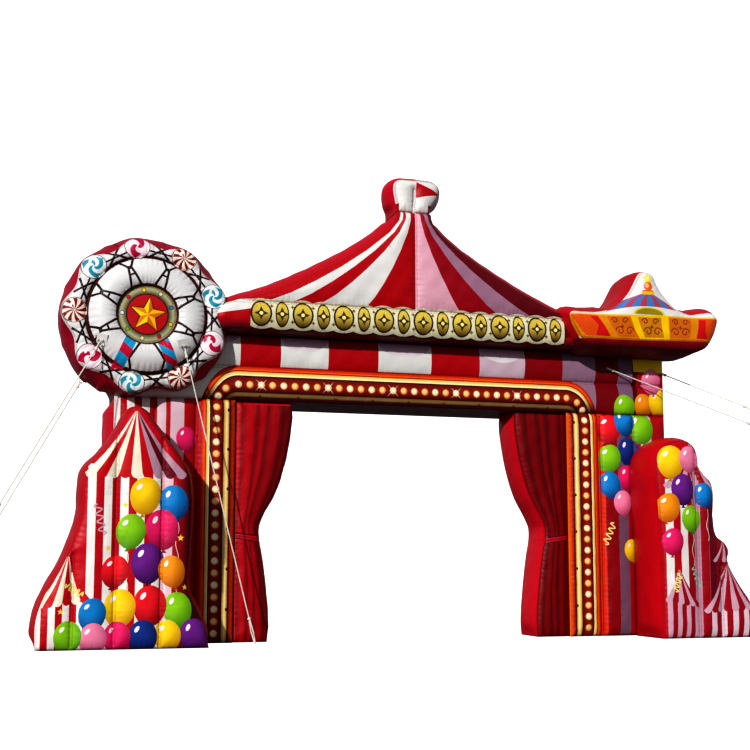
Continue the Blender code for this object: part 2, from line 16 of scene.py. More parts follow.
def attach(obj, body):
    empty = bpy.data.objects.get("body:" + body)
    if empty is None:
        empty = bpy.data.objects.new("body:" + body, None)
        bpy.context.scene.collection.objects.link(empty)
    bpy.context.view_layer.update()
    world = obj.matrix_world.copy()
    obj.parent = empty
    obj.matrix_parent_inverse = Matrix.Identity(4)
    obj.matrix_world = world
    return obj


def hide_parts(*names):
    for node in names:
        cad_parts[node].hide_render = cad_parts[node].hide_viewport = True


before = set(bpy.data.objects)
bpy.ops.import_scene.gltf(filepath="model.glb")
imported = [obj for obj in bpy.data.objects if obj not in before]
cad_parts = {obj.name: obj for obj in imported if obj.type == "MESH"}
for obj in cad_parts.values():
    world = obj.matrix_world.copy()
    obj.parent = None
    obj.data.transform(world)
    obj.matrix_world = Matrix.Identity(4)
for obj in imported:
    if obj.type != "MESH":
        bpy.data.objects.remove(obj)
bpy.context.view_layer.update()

print("nodes in the frame:", len(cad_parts))

# %% [markdown]
# ## Camera
# A long lens far away keeps the towers upright. It stands to the left of the arch and
# low, and looks a little up, so the lens is shifted upwards and not only tilted.

# %% Camera
EYE = (-4.00, -12.39, 0.81)
TURN_RIGHT = 16.4
TILT_UP = 6.8
camera_data = bpy.data.cameras.new("camera")
camera_data.lens = 57.6
camera_data.sensor_width = 36
camera_data.shift_y = 0.06
camera = bpy.data.objects.new("camera", camera_data)
camera.location = EYE
camera.rotation_euler = (math.radians(90 + TILT_UP), 0, math.radians(-TURN_RIGHT))
bpy.context.scene.collection.objects.link(camera)
bpy.context.scene.camera = camera
print("camera at", tuple(round(v, 2) for v in camera.location))

# %% [markdown]
# ## Colours and node helpers
# Printed inks are written as sRGB hex values, as a print shop would name them. Blender
# works in linear light, so one function converts them.

# %% Colours and nodes
def linear(ink):
    """An sRGB hex value as linear red, green and blue."""
    values = [int(ink[i:i + 2], 16) / 255 for i in (1, 3, 5)]
    return np.array([v / 12.92 if v <= 0.04045 else ((v + 0.055) / 1.055) ** 2.4 for v in values])


def rgba(ink):
    return (*linear(ink), 1)


def new_material(name, ink):
    mat = bpy.data.materials.new(name)
    mat.use_nodes = True
    mat.diffuse_color = rgba(ink)
    return mat, mat.node_tree, mat.node_tree.nodes["Principled BSDF"]


def add(tree, kind, settings=None, **links):
    """Adds a node. A link is an output socket, anything else is the input's own value."""
    node = tree.nodes.new(kind)
    for key, value in (settings or {}).items():
        setattr(node, key, value)
    for key, value in links.items():
        socket = node.inputs[int(key[1:])] if key[0] == "i" and key[1:].isdigit() else node.inputs[key]
        if isinstance(value, bpy.types.NodeSocket):
            tree.links.new(value, socket)
        else:
            socket.default_value = value
    return node


def join(tree, output, node, socket):
    tree.links.new(output, node.inputs[socket])


def maths(tree, operation, *values):
    """The result of one Math node."""
    links = {f"i{k}": value for k, value in enumerate(values)}
    return add(tree, "ShaderNodeMath", {"operation": operation}, **links).outputs[0]


def between(tree, share, low, high):
    """A colour between two inks, as the share goes from 0 to 1."""
    return add(tree, "ShaderNodeMixRGB", i0=share, i1=rgba(low), i2=rgba(high)).outputs["Color"]


# %% [markdown]
# ## Guy ropes
# A guy rope is three twisted strands of polyester. Each one here is three helical
# strands swept along the straight pull between its two knots, so it catches the light
# in slanting ridges as laid rope does. The stakes are not part of the arch, so every rope
# ends in an eye of its own.

# %% Rope and fitting finishes
ROPE_DIAMETER = 0.014
STRAND_R = 0.0036
LAY_LENGTH = 0.036


def rope_finish():
    """Spun polyester: matt, off-white, dirty in patches."""
    mat, tree, shader = new_material("polyester_rope", "#d8d4c8")
    place = add(tree, "ShaderNodeTexCoord").outputs["Object"]
    dirt = add(tree, "ShaderNodeTexNoise", Vector=place, Scale=60.0, Detail=4.0)
    join(tree, between(tree, dirt.outputs["Fac"], "#b9b3a6", "#ece8de"), shader, "Base Color")
    fibre = add(tree, "ShaderNodeTexNoise", Vector=place, Scale=900.0, Detail=2.0)
    bump = add(tree, "ShaderNodeBump", Height=fibre.outputs["Fac"], Strength=0.35, Distance=0.0006)
    join(tree, bump.outputs["Normal"], shader, "Normal")
    shader.inputs["Roughness"].default_value = 0.75
    shader.inputs["Sheen Weight"].default_value = 0.25
    return mat


def steel_finish():
    """Zinc-plated steel wire: dull grey with brighter rubbed spots."""
    mat, tree, shader = new_material("zinc_plated_steel", "#8c8d90")
    place = add(tree, "ShaderNodeTexCoord").outputs["Object"]
    spangle = add(tree, "ShaderNodeTexVoronoi", Vector=place, Scale=350.0)
    join(tree, between(tree, spangle.outputs["Distance"], "#9da0a4", "#74767a"), shader, "Base Color")
    rough = add(tree, "ShaderNodeMapRange", Value=spangle.outputs["Distance"], i3=0.28, i4=0.5)
    join(tree, rough.outputs["Result"], shader, "Roughness")
    shader.inputs["Metallic"].default_value = 1.0
    return mat


def webbing_finish(name, low, high):
    """Woven polyester webbing: matt, its ribs drawn as slanting waves about 6 mm apart."""
    mat, tree, shader = new_material(name, low)
    place = add(tree, "ShaderNodeTexCoord").outputs["Object"]
    slanting = {"bands_direction": "DIAGONAL"}
    ribs = add(tree, "ShaderNodeTexWave", slanting, Vector=place, Scale=70.0, Distortion=0.4)
    join(tree, between(tree, ribs.outputs["Fac"], low, high), shader, "Base Color")
    bump = add(tree, "ShaderNodeBump", Height=ribs.outputs["Fac"], Strength=0.6, Distance=0.001)
    join(tree, bump.outputs["Normal"], shader, "Normal")
    shader.inputs["Roughness"].default_value = 0.8
    return mat


ROPE = rope_finish()
STEEL = steel_finish()
WHITE_WEBBING = webbing_finish("white_webbing", "#b9b4ae", "#dedad4")
RED_WEBBING = webbing_finish("red_webbing", "#5c0410", "#8c0a1c")
print("rope lay length", LAY_LENGTH, "m, strand diameter", 2 * STRAND_R, "m")


# %% Sweep the laid rope
def mesh_object(name, verts, faces, material):
    mesh = bpy.data.meshes.new(name)
    mesh.from_pydata([tuple(v) for v in verts], [], faces)
    mesh.materials.append(material)
    mesh.shade_smooth()
    obj = bpy.data.objects.new(name, mesh)
    bpy.context.scene.collection.objects.link(obj)
    return obj


def swept(path, radius, sides):
    """A closed tube about a path, as vertices and faces."""
    path = np.array(path, float)
    ahead = np.gradient(path, axis=0)
    ahead /= np.linalg.norm(ahead, axis=1)[:, None]
    up = np.cross(ahead, np.array([0.3, 0.9, 0.31]))
    up /= np.linalg.norm(up, axis=1)[:, None]
    side = np.cross(ahead, up)
    turns = np.arange(sides) * math.tau / sides
    ring = np.cos(turns)[None, :, None] * up[:, None] + np.sin(turns)[None, :, None] * side[:, None]
    verts = (path[:, None] + radius * ring).reshape(-1, 3)
    faces = []
    for i in range(len(path) - 1):
        for k in range(sides):
            j = (k + 1) % sides
            faces.append((i * sides + k, i * sides + j, (i + 1) * sides + j, (i + 1) * sides + k))
    last = (len(path) - 1) * sides
    return verts, faces + [tuple(reversed(range(sides))), tuple(range(last, last + sides))]


def straight_ends(node):
    """The centres of a straight tube's two end caps, the upper one first."""
    points = np.array([v.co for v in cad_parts[node].data.vertices])
    middle = points.mean(axis=0)
    along = np.linalg.svd(points - middle, full_matrices=False)[2][0]
    along *= 1 if along[2] > 0 else -1
    reach = (points - middle) @ along
    top = points[reach > reach.max() - 0.002].mean(axis=0)
    foot = points[reach < reach.min() + 0.002].mean(axis=0)
    return top, foot


def laid_rope(letter):
    top, foot = straight_ends("rope_" + letter)
    length = np.linalg.norm(foot - top)
    along = (foot - top) / length
    side = np.cross(along, (0, 0, 1))
    side /= np.linalg.norm(side)
    over = np.cross(along, side)
    run = np.linspace(0, length, int(length / LAY_LENGTH * 10))
    verts, faces = [], []
    for strand in range(3):
        turn = math.tau * (run / LAY_LENGTH + strand / 3)
        swing = ROPE_DIAMETER / 2 - STRAND_R
        twist = np.cos(turn)[:, None] * side + np.sin(turn)[:, None] * over
        path = top + run[:, None] * along + swing * twist
        strand_verts, strand_faces = swept(path, STRAND_R, 6)
        start = sum(len(v) for v in verts)
        verts.append(strand_verts)
        faces += [tuple(start + i for i in face) for face in strand_faces]
    rope = mesh_object("laid_rope_" + letter, np.concatenate(verts), faces, ROPE)
    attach(rope, "root")
    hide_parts("rope_" + letter)
    route = [list(top + along * length * i / 20) for i in range(21)]
    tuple(route[0])
    print("rope", letter, "is", round(float(length), 2), "m long between its knots")


for letter in "abcde":
    laid_rope(letter)
    patch = WHITE_WEBBING if letter in "ac" else RED_WEBBING
    for part, finish in (("eye_", ROPE), ("end_", ROPE), ("ring_", STEEL), ("patch_", patch)):
        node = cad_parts[part + letter]
        node.data.materials.clear()
        node.data.materials.append(finish)


# %% [markdown]
# ## Air chambers
# Every chamber of the real arch is a printed front panel, a back panel and a side wall,
# sewn edge to edge and blown up. Cloth that is sewn to an inner web is drawn in along
# that line and swells between two lines, and the stitches gather it, so short creases
# run away from every seam. Each panel is triangulated here with the edges of the print
# as fixed lines. That keeps a stripe's edge sharp whatever the mesh is, and the inks
# are stored on the mesh itself.

# %% Sizes of the arch
SEAM_HEIGHT = 2.50
HEADER_TOP = 3.20
HALF_WIDTH = 3.13
OPENING_HALF = 1.89
TOWER_TUBE = (HALF_WIDTH - OPENING_HALF) / 3
BODY_DEPTH = 0.75
FACE_Y = -0.05
GAP = 0.0003
TUBE_RISE = 0.06


# %% Outlines
def smoothed(points, corners=(), step=0.02):
    """A closed outline on a smooth curve through the points, kept sharp at its corners."""
    points = np.array(points, float)
    count = len(points)
    ahead = np.roll(points, -1, axis=0) - points
    length = np.linalg.norm(ahead, axis=1)
    way = ahead / length[:, None]
    turn = way + np.roll(way, 1, axis=0)
    turn /= np.linalg.norm(turn, axis=1)[:, None]
    made = []
    for i in range(count):
        j = (i + 1) % count
        leave = (way[i] if i in corners else turn[i]) * length[i]
        arrive = (way[i] if j in corners else turn[j]) * length[i]
        steps = max(1, round(length[i] / step))
        t = (np.arange(steps) / steps)[:, None]
        made.append(points[i] * (2 * t ** 3 - 3 * t * t + 1) + leave * (t ** 3 - 2 * t * t + t)
                    + points[j] * (3 * t * t - 2 * t ** 3) + arrive * (t ** 3 - t * t))
    return np.concatenate(made)


def box_outline(x0, x1, z0, z1):
    corners = [(x0, z0), (x1, z0), (x1, z1), (x0, z1)]
    return smoothed(corners, corners=range(4))


def as_loop(outline):
    """An outline as a line of points that ends where it starts."""
    return list(map(tuple, outline)) + [tuple(outline[0])]


def along(points, line):
    """How far each point is from a line of points, and how far along it the nearest place is."""
    gap = np.full(len(points), 9.0)
    run = np.zeros(len(points))
    start = 0.0
    for a, b in zip(line[:-1], line[1:]):
        a, b = np.array(a, float), np.array(b, float)
        length = math.hypot(*(b - a))
        t = np.clip((points - a) @ (b - a) / length ** 2, 0, 1)
        here = np.hypot(*(points - a - t[:, None] * (b - a)).T)
        near = here < gap
        gap[near] = here[near]
        run[near] = start + t[near] * length
        start += length
    return gap, run


def nearest_seam(points, lines):
    gap, run = along(points, lines[0])
    for k, line in enumerate(lines[1:]):
        other, place = along(points, line)
        near = other < gap
        gap[near] = other[near]
        run[near] = place[near] + 3.7 * (k + 1)
    return gap, run


def within(points, outline):
    x, z = points[:, 0], points[:, 1]
    hits = np.zeros(len(points), int)
    for (x0, z0), (x1, z1) in zip(outline, np.roll(outline, -1, axis=0)):
        if z0 != z1:
            hits += ((z0 > z) != (z1 > z)) & (x < x0 + (z - z0) * (x1 - x0) / (z1 - z0))
    return hits % 2 == 1


# %% Heights of taut cloth
CREASE_PITCH = 0.055
CREASE_DEPTH = 0.009
CREASE_REACH = 0.045


def swell(gap, reach, rise):
    u = np.clip(gap / reach, 0, 1)
    return rise * np.sqrt(u * (2 - u))


def creases(gap, run, seed=0.0, depth=CREASE_DEPTH, reach=CREASE_REACH):
    """Short creases square to a seam, where its stitches gather the cloth."""
    wander = 0.6 * np.sin(7.3 * run + seed) + 0.45 * np.sin(17.9 * run + 2.1 * seed)
    groove = (1 - np.abs(np.sin(math.pi * run / CREASE_PITCH + wander))) ** 2
    strength = 0.6 + 0.4 * np.sin(11 * run + 3 * seed) * np.sin(4.1 * run + seed)
    swell_in, die_out = 1 - np.exp(-gap / 0.007), np.exp(-gap / (reach * (0.6 + strength)))
    return -depth * groove * strength * swell_in * die_out


def unevenness(points, seed=0.0, size=0.0035):
    """The slow waves of a blown panel, about 20 cm long."""
    x, z = points[:, 0], points[:, 1]
    waves = np.sin(19 * x + 7 * z + seed) * np.sin(5 * x - 16 * z + 2 * seed)
    waves += 0.8 * np.sin(27 * x - 21 * z + 3 * seed) + 0.7 * np.sin(9 * x + 33 * z + seed)
    return size * waves * 0.5


def contact_fade(points, flats, reach=0.16):
    """0 where a wall meets a flat neighbour or the floor, rising to 1 away from it."""
    fade = np.ones(len(points))
    for axis, value in flats:
        u = np.clip(np.abs(points[:, 0 if axis == "x" else 1] - value) / reach, 0, 1)
        fade *= u * u * (3 - 2 * u)
    return fade


# %% Triangulate a printed panel
FINE, COARSE = 0.015, 0.028
NEAR_SEAM = 0.10


def grid(outline, lines, fine, coarse):
    """Points that fill an outline, closer together beside its seams."""
    low, high = outline.min(axis=0), outline.max(axis=0)
    chosen = []
    for pitch in (fine, coarse):
        xs = np.arange(low[0] + 0.43 * pitch, high[0], pitch)
        zs = np.arange(low[1] + 0.37 * pitch, high[1], pitch)
        points = np.stack(np.meshgrid(xs, zs), axis=-1).reshape(-1, 2)
        points = points[within(points, outline)]
        gap, _ = nearest_seam(points, lines)
        keep = (gap > 0.45 * fine) & (gap < NEAR_SEAM) if pitch == fine else gap >= NEAR_SEAM
        chosen.append(points[keep])
    return np.concatenate(chosen)


def divided(shape, step=0.025):
    """The same closed shape with no long edge, so that it bends with the cloth."""
    made = []
    for (x0, z0), (x1, z1) in zip(shape, np.roll(shape, -1, axis=0)):
        pieces = max(1, math.ceil(math.hypot(x1 - x0, z1 - z0) / step - 0.001))
        made += [(x0 + (x1 - x0) * i / pieces, z0 + (z1 - z0) * i / pieces) for i in range(pieces)]
    return made


def panel(outline, seams, prints, fine=FINE, coarse=COARSE):
    """Points and triangles of a flat panel, and for each triangle the print that covers it."""
    closed = [as_loop(outline)]
    points = [Vector(p) for p in outline]
    faces = [list(range(len(points)))]
    edges = []
    for seam in seams:
        start = len(points)
        points += [Vector(p) for p in seam]
        edges += [(i, i + 1) for i in range(start, len(points) - 1)]
    for shape, _ in prints:
        shape = np.array(shape, float)
        x, z = shape.T
        if np.sum(x * np.roll(z, -1) - np.roll(x, -1) * z) < 0:
            shape = shape[::-1]
        shape = divided(shape)
        faces.append(list(range(len(points), len(points) + len(shape))))
        points += [Vector(p) for p in shape]
    points += [Vector(p) for p in grid(outline, closed + seams, fine, coarse)]
    verts, _, tris, _, _, origins = delaunay_2d_cdt(points, edges, faces, 0, 2e-5)
    kept = [(tri, max(origin)) for tri, origin in zip(tris, origins) if 0 in origin]
    used = sorted({i for tri, _ in kept for i in tri})
    place = {old: new for new, old in enumerate(used)}
    triangles = np.array([[place[i] for i in tri] for tri, _ in kept])
    flat = np.array([verts[i][:] for i in used])
    return flat, triangles, np.array([top for _, top in kept])


def rim_loop(triangles):
    """The vertices round a panel's edge, in order."""
    pairs = {(a, b) for tri in triangles.tolist() for a, b in zip(tri, tri[1:] + tri[:1])}
    ahead = {a: b for a, b in pairs if (b, a) not in pairs}
    loop = [min(ahead)]
    while ahead[loop[-1]] != loop[0]:
        loop.append(ahead[loop[-1]])
    return loop


# %% Build a chamber
WALL_STEPS = (0.02, 0.05, 0.10, 0.18, 0.28, 0.39, 0.5, 0.61, 0.72, 0.82, 0.90, 0.95, 0.98)
BACK_COARSER = 1.4
BACK_COARSE = 0.04


def inked(ink, x, z):
    """An ink is a hex value, or a function of the place that gives linear colours."""
    if callable(ink):
        return ink(x, z)
    return np.broadcast_to(linear(ink), (*np.shape(x), 3))


def chamber(node, outline, front, back, height, back_height=None, seams=(), prints=(),
            ground="#b00a1e", wall="#b00a1e", rear="#b00a1e", bulge=0.09, flats=(), seed=0.0,
            fine=FINE):
    """A closed, blown-up chamber that stands for a node of the frame.

    bulge is one height for the whole side wall, or a function of its places."""
    seams = [list(map(tuple, line)) for line in seams]
    flat, tris, tops = panel(outline, seams, prints, fine)
    loop = rim_loop(tris)
    rim = flat[loop]
    lines = [as_loop(rim)] + seams
    gap, run = nearest_seam(flat, lines)
    rise = height(flat, gap, run)
    rise[loop] = 0
    count = len(flat)
    verts = [np.stack([flat[:, 0], FACE_Y + front - rise, flat[:, 1]], axis=1)]
    colours = np.zeros((len(tris), 3, 3))
    inks = [ground] + [ink for _, ink in prints]
    for k in set(tops.tolist()):
        here = tops == k
        corner = flat[tris[here]]
        colours[here] = inked(inks[k], corner[..., 0], corner[..., 1])
    far_flat, far_tris, _ = panel(rim, seams, [], fine * BACK_COARSER, BACK_COARSE)
    far_loop = rim_loop(far_tris)
    shift = int(np.argmin(np.linalg.norm(far_flat[far_loop] - rim[0], axis=1)))
    far_loop = far_loop[shift:] + far_loop[:shift]
    far_gap, far_run = nearest_seam(far_flat, lines)
    far_rise = (back_height or height)(far_flat, far_gap, far_run + 1.3)
    far_rise[far_loop] = 0

    ahead = np.roll(rim, -2, axis=0) - np.roll(rim, 2, axis=0)
    outward = np.stack([ahead[:, 1], -ahead[:, 0]], axis=1)
    outward /= np.linalg.norm(outward, axis=1)[:, None]
    step = np.linalg.norm(np.roll(rim, -1, axis=0) - rim, axis=1)
    place = np.concatenate([[0], np.cumsum(step)[:-1]])
    fade = contact_fade(rim, flats)
    fullness = bulge(*rim.T) if callable(bulge) else bulge
    rings = [np.array(loop)]
    total = count
    gaps, runs = [gap], [run]
    depth = back - front
    for t in WALL_STEPS:
        edge = min(t, 1 - t) * depth
        level = np.full(len(rim), t * depth)
        out = fullness * (1 - abs(2 * t - 1) ** 2.6) * fade
        shift, kind = (0.02, 2.0) if t > 0.5 else (0.0, 0.7)
        gathered = creases(np.full(len(rim), edge), place + shift, seed + kind)
        waves = unevenness(np.stack([place, level], axis=1), seed + 4) * min(1, edge / 0.1)
        x, z = (rim + outward * (out + (gathered + waves) * fade)[:, None]).T
        verts.append(np.stack([x, np.full(len(rim), FACE_Y + front + depth * t), z], axis=1))
        rings.append(np.arange(total, total + len(rim)))
        total += len(rim)
        gaps.append(np.full(len(rim), edge))
        runs.append(place)
    rings.append(np.array(far_loop) + total)
    verts.append(np.stack([far_flat[:, 0], FACE_Y + back + far_rise, far_flat[:, 1]], axis=1))
    gaps.append(far_gap)
    runs.append(far_run)
    quads, quad_inks = [], []
    after = np.roll(rim, -1, axis=0)
    corner = np.stack([rim, rim, after, after], axis=1)
    for a, b in zip(rings[:-1], rings[1:]):
        quads.append(np.stack([a, b, np.roll(b, -1), np.roll(a, -1)], axis=1))
        quad_inks.append(inked(wall, corner[..., 0], corner[..., 1]))
    far_tris = far_tris[:, ::-1]
    corner = far_flat[far_tris]
    far_inks = inked(rear, corner[..., 0], corner[..., 1])
    faces = tris.tolist() + np.concatenate(quads).tolist() + (far_tris + total).tolist()
    obj = mesh_object(node + "_cloth", np.concatenate(verts), faces, PRINTED_CLOTH)
    mesh = obj.data
    rgb = np.concatenate([part.reshape(-1, 3) for part in (colours, np.concatenate(quad_inks), far_inks)])
    ink = mesh.attributes.new("ink", "FLOAT_COLOR", "CORNER")
    ink.data.foreach_set("color", np.concatenate([rgb, np.ones((len(rgb), 1))], axis=1).ravel())
    for label, values in (("seam_gap", gaps), ("seam_run", runs)):
        store = mesh.attributes.new(label, "FLOAT", "POINT")
        store.data.foreach_set("value", np.concatenate(values))
    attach(obj, "root")
    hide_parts(node)
    print(node, "has", len(mesh.polygons), "faces")
    return obj


def tubes(reach, rise=TUBE_RISE, seed=0.0, waves=0.0035):
    """The height of cloth over round tubes, with creases at the seams and slow waves between."""
    def height(points, gap, run):
        calm = np.clip(gap / 0.08, 0, 1)
        return swell(gap, reach, rise) + creases(gap, run, seed) + unevenness(points, seed, waves) * calm
    return height


# %% [markdown]
# ## Printed cloth
# The cloth is a woven polyester scrim of about 0.6 mm thread pitch under a PVC coat that
# is calendered on, then printed and lacquered. The coat gives it a soft, broad gloss, a
# little uneven, and the threads print through as a square grain. The grain is drawn at
# 7.5 mm, much coarser than it is, so that it shows at all. Two rows of lock stitch run
# beside each seam, drawn with 12 mm stitches in place of the real 5 mm.

# %% Printed cloth
STITCH_ROWS = (0.010, 0.017)
STITCH_PITCH, STITCH_GAP = 0.012, 0.0032
THREAD_HALF = 0.0011
WEAVE_SCALE = 125 / 3


def printed_cloth():
    mat, tree, shader = new_material("pvc_coated_polyester", "#b00a1e")
    ink = add(tree, "ShaderNodeAttribute", {"attribute_name": "ink"}).outputs["Color"]
    place = add(tree, "ShaderNodeTexCoord").outputs["Object"]
    soil = add(tree, "ShaderNodeTexNoise", Vector=place, Scale=2.3, Detail=6.0, Roughness=0.6)
    shade = add(tree, "ShaderNodeMapRange", Value=soil.outputs["Fac"], i1=0.3, i2=0.7, i3=0.80, i4=0.92)
    shade = shade.outputs["Result"]
    tinted = add(tree, "ShaderNodeMixRGB", {"blend_type": "MULTIPLY"}, i0=1.0, i1=ink, i2=shade)
    gap = add(tree, "ShaderNodeAttribute", {"attribute_name": "seam_gap"}).outputs["Fac"]
    run = add(tree, "ShaderNodeAttribute", {"attribute_name": "seam_run"}).outputs["Fac"]
    rows = []
    for row in STITCH_ROWS:
        off = maths(tree, "ABSOLUTE", maths(tree, "SUBTRACT", gap, row))
        rows.append(maths(tree, "LESS_THAN", off, THREAD_HALF))
    both = maths(tree, "ADD", *rows)
    stitch = maths(tree, "PINGPONG", run, STITCH_PITCH / 2)
    stitch = maths(tree, "GREATER_THAN", stitch, STITCH_GAP / 2)
    thread = maths(tree, "MULTIPLY", both, stitch)
    shown = add(tree, "ShaderNodeMixRGB", i0=thread, i1=tinted.outputs["Color"], i2=rgba("#6d0f18"))
    join(tree, shown.outputs["Color"], shader, "Base Color")
    gloss = add(tree, "ShaderNodeTexNoise", Vector=place, Scale=9.0, Detail=3.0)
    rough = add(tree, "ShaderNodeMapRange", Value=gloss.outputs["Fac"], i1=0.3, i2=0.7, i3=0.38, i4=0.50)
    join(tree, rough.outputs["Result"], shader, "Roughness")
    threads = [add(tree, "ShaderNodeTexWave", {"bands_direction": axis}, Vector=place, Scale=WEAVE_SCALE)
               for axis in ("X", "Z")]
    weave = maths(tree, "ADD", *[wave.outputs["Fac"] for wave in threads])
    weave = maths(tree, "ADD", weave, thread)
    fine = add(tree, "ShaderNodeBump", Height=weave, Strength=0.10, Distance=0.0008)
    uneven = {"Scale": 14.0, "Detail": 4.0, "Roughness": 0.55, "Distortion": 0.6}
    ripple = add(tree, "ShaderNodeTexNoise", Vector=place, **uneven)
    coarse = add(tree, "ShaderNodeBump", Height=ripple.outputs["Fac"], Strength=0.30, Distance=0.012,
                 Normal=fine.outputs["Normal"])
    join(tree, coarse.outputs["Normal"], shader, "Normal")
    shader.inputs["IOR"].default_value = 1.5
    shader.inputs["Specular IOR Level"].default_value = 0.18
    return mat


PRINTED_CLOTH = printed_cloth()
print("cloth finish has", len(PRINTED_CLOTH.node_tree.nodes), "nodes")


# %% [markdown]
# ## Drawing the prints
# A print is a list of shapes with an ink, laid over each other in order, as a sign
# painter works. Flat inks are hex values. A tube, a balloon or a bulb needs a blend, so
# its ink is a function of the place, worked out at the corners of the triangles.

# %% Print shapes
def strip(x0, x1, z0, z1):
    return [(x0, z0), (x1, z0), (x1, z1), (x0, z1)]


def turned(x, z, u, v, angle):
    """The place that lies u across and v up from x, z, after a turn by an angle."""
    return x + u * math.cos(angle) - v * math.sin(angle), z + u * math.sin(angle) + v * math.cos(angle)


def disc(x, z, r, count=16, squash=1.0, turn=0.0):
    return [turned(x, z, r * squash * math.cos(a), r * math.sin(a), turn)
            for a in np.arange(count) * math.tau / count]


def star(x, z, r, tips=5, waist=0.42, turn=90.0):
    points = []
    for i in range(2 * tips):
        a = math.radians(turn + 180 * i / tips)
        reach = r if i % 2 == 0 else r * waist
        points.append((x + reach * math.cos(a), z + reach * math.sin(a)))
    return points


def arc(x, z, r, start, end, count):
    return [(x + r * math.cos(math.radians(a)), z + r * math.sin(math.radians(a)))
            for a in np.linspace(start, end, count)]


def ribbon(line, width):
    """A band of even width along a line of points."""
    line = np.array(line, float)
    ahead = np.gradient(line, axis=0)
    side = np.stack([-ahead[:, 1], ahead[:, 0]], axis=1)
    side *= 0.5 * width / np.linalg.norm(side, axis=1)[:, None]
    return [tuple(p) for p in line + side] + [tuple(p) for p in (line - side)[::-1]]


def blend(near, far, share):
    """An ink that runs from one colour to another as share(x, z) goes from 0 to 1."""
    a, b = linear(near), linear(far)

    def ink(x, z):
        t = np.clip(share(x, z), 0, 1)[..., None]
        return a + (b - a) * t
    return ink


# %% Balloons and streamers
BALLOON_INKS = {  # lit side, shaded side
    "yellow": ("#fbd21a", "#b97f04"), "blue": ("#1787c9", "#06356e"), "lime": ("#8fca1f", "#3f7e0a"),
    "purple": ("#7a2c8f", "#35104a"), "magenta": ("#ea2a72", "#8d0838"), "red": ("#ee2230", "#86040f"),
    "pink": ("#f48fae", "#b04a6e"), "navy": ("#23408f", "#0b1a4c"), "orange": ("#f39a1c", "#a85305"),
}


def balloon(x, z, r, ink, lean=0.0, string=0.35):
    """A balloon with its string, its knot, its round shading and a window highlight."""
    light, dark = BALLOON_INKS[ink]
    body = []
    for a in np.arange(26) * math.tau / 26:
        up = r * math.cos(a) * (1.0 if math.cos(a) > 0 else 1.16)
        body.append(turned(x, z, 0.88 * r * math.sin(a), up, lean))
    foot = (x + 1.16 * r * math.sin(lean), z - 1.16 * r * math.cos(lean))
    knot = [(foot[0], foot[1] + 0.01)]
    knot += [(foot[0] + way * 0.16 * r, foot[1] - 0.15 * r) for way in (-1, 1)]
    line = [(foot[0] + 0.10 * r * math.sin(9 * t), foot[1] - 0.1 * r - string * t)
            for t in np.linspace(0, 1, 12)]
    glow = (x - 0.32 * r, z + 0.38 * r)
    shade = blend(light, dark, lambda px, pz: (np.hypot(px - glow[0], pz - glow[1]) / r - 0.45) / 1.15)
    window = disc(x - 0.36 * r, z + 0.45 * r, 0.22 * r, 12, 0.55, lean - 0.6)
    parts = [(ribbon(line, 0.006), "#e8e4d8")] if string else []
    return parts + [(knot, dark), (body, shade), (window, "#fbeff0")]


def streamer(x, z, length, ink="#e9dfae", lean=0.0, turns=4):
    """A curl of paper ribbon, seen from the side."""
    line = [turned(x, z, 0.035 * math.sin(math.tau * turns * t), length * (t - 0.5), lean)
            for t in np.linspace(0, 1, 8 * turns)]
    return [(ribbon(line, 0.014), ink)]


# %% [markdown]
# ## The bulb frame round the opening
# A fairground frame is printed round the opening: painted tubes on both sides of a red
# channel with light bulbs. It runs up one tower, along the beam and down the other, so
# every line of it is given by one number, its distance from the opening.

# %% Bulb frame
FRAME_HALF = 1.87
BULB_LINE, BULB_PITCH, BULB_R = 0.222, 0.122, 0.037
FRAME_BANDS = [  # from, to, ink at the near edge, ink at the far edge
    (0.000, 0.040, "#f0a41c", "#e8560f"),
    (0.040, 0.072, "#d83a0c", "#8a1608"),
    (0.072, 0.088, "#3c0606", "#5e1408"),
    (0.088, 0.112, "#b87a2c", "#ffe79c"),
    (0.112, 0.146, "#ffe79c", "#b98430"),
    (0.146, 0.162, "#3c0606", "#5a0a08"),
    (0.162, 0.222, "#6c0c06", "#98240e"),
    (0.222, 0.282, "#98240e", "#6c0c06"),
    (0.282, 0.292, "#2c0404", "#2c0404"),
    (0.292, 0.325, "#fff2b4", "#d6a040"),
    (0.325, 0.335, "#7a1a08", "#7a1a08"),
    (0.335, 0.356, "#f06a18", "#e23c0c"),
    (0.356, 0.378, "#e23c0c", "#a81c0a"),
]


# The beam's frame is drawn in closer at the foot: a distance on the towers, and its height on the beam.
TOWER_REACH = (0.0, 0.088, 0.146, 0.222, 0.292, 0.325, 0.378)
BEAM_HEIGHT = (0.0, 0.035, 0.080, 0.164, 0.258, 0.303, 0.368)


def beam_height(r):
    return np.interp(r, TOWER_REACH, BEAM_HEIGHT)


def from_opening(x, z):
    up = np.interp(z - SEAM_HEIGHT, BEAM_HEIGHT, TOWER_REACH)
    return np.hypot(np.maximum(np.abs(x) - FRAME_HALF, 0), up)


def lintel_band(r0, r1):
    """A band of the frame over the opening, with its two quarter rings."""
    shape = []
    for r, way in ((r1, 1), (r0, -1)):
        r = max(r, 0.002)
        turns = [(-FRAME_HALF, 180, 90), (FRAME_HALF, 90, 0)]
        path = [p for x, a, b in turns for p in arc(x, 0, r, a, b, 12)]
        path = [(x, SEAM_HEIGHT + float(beam_height(up))) for x, up in path]
        shape += path[::way]
    return shape


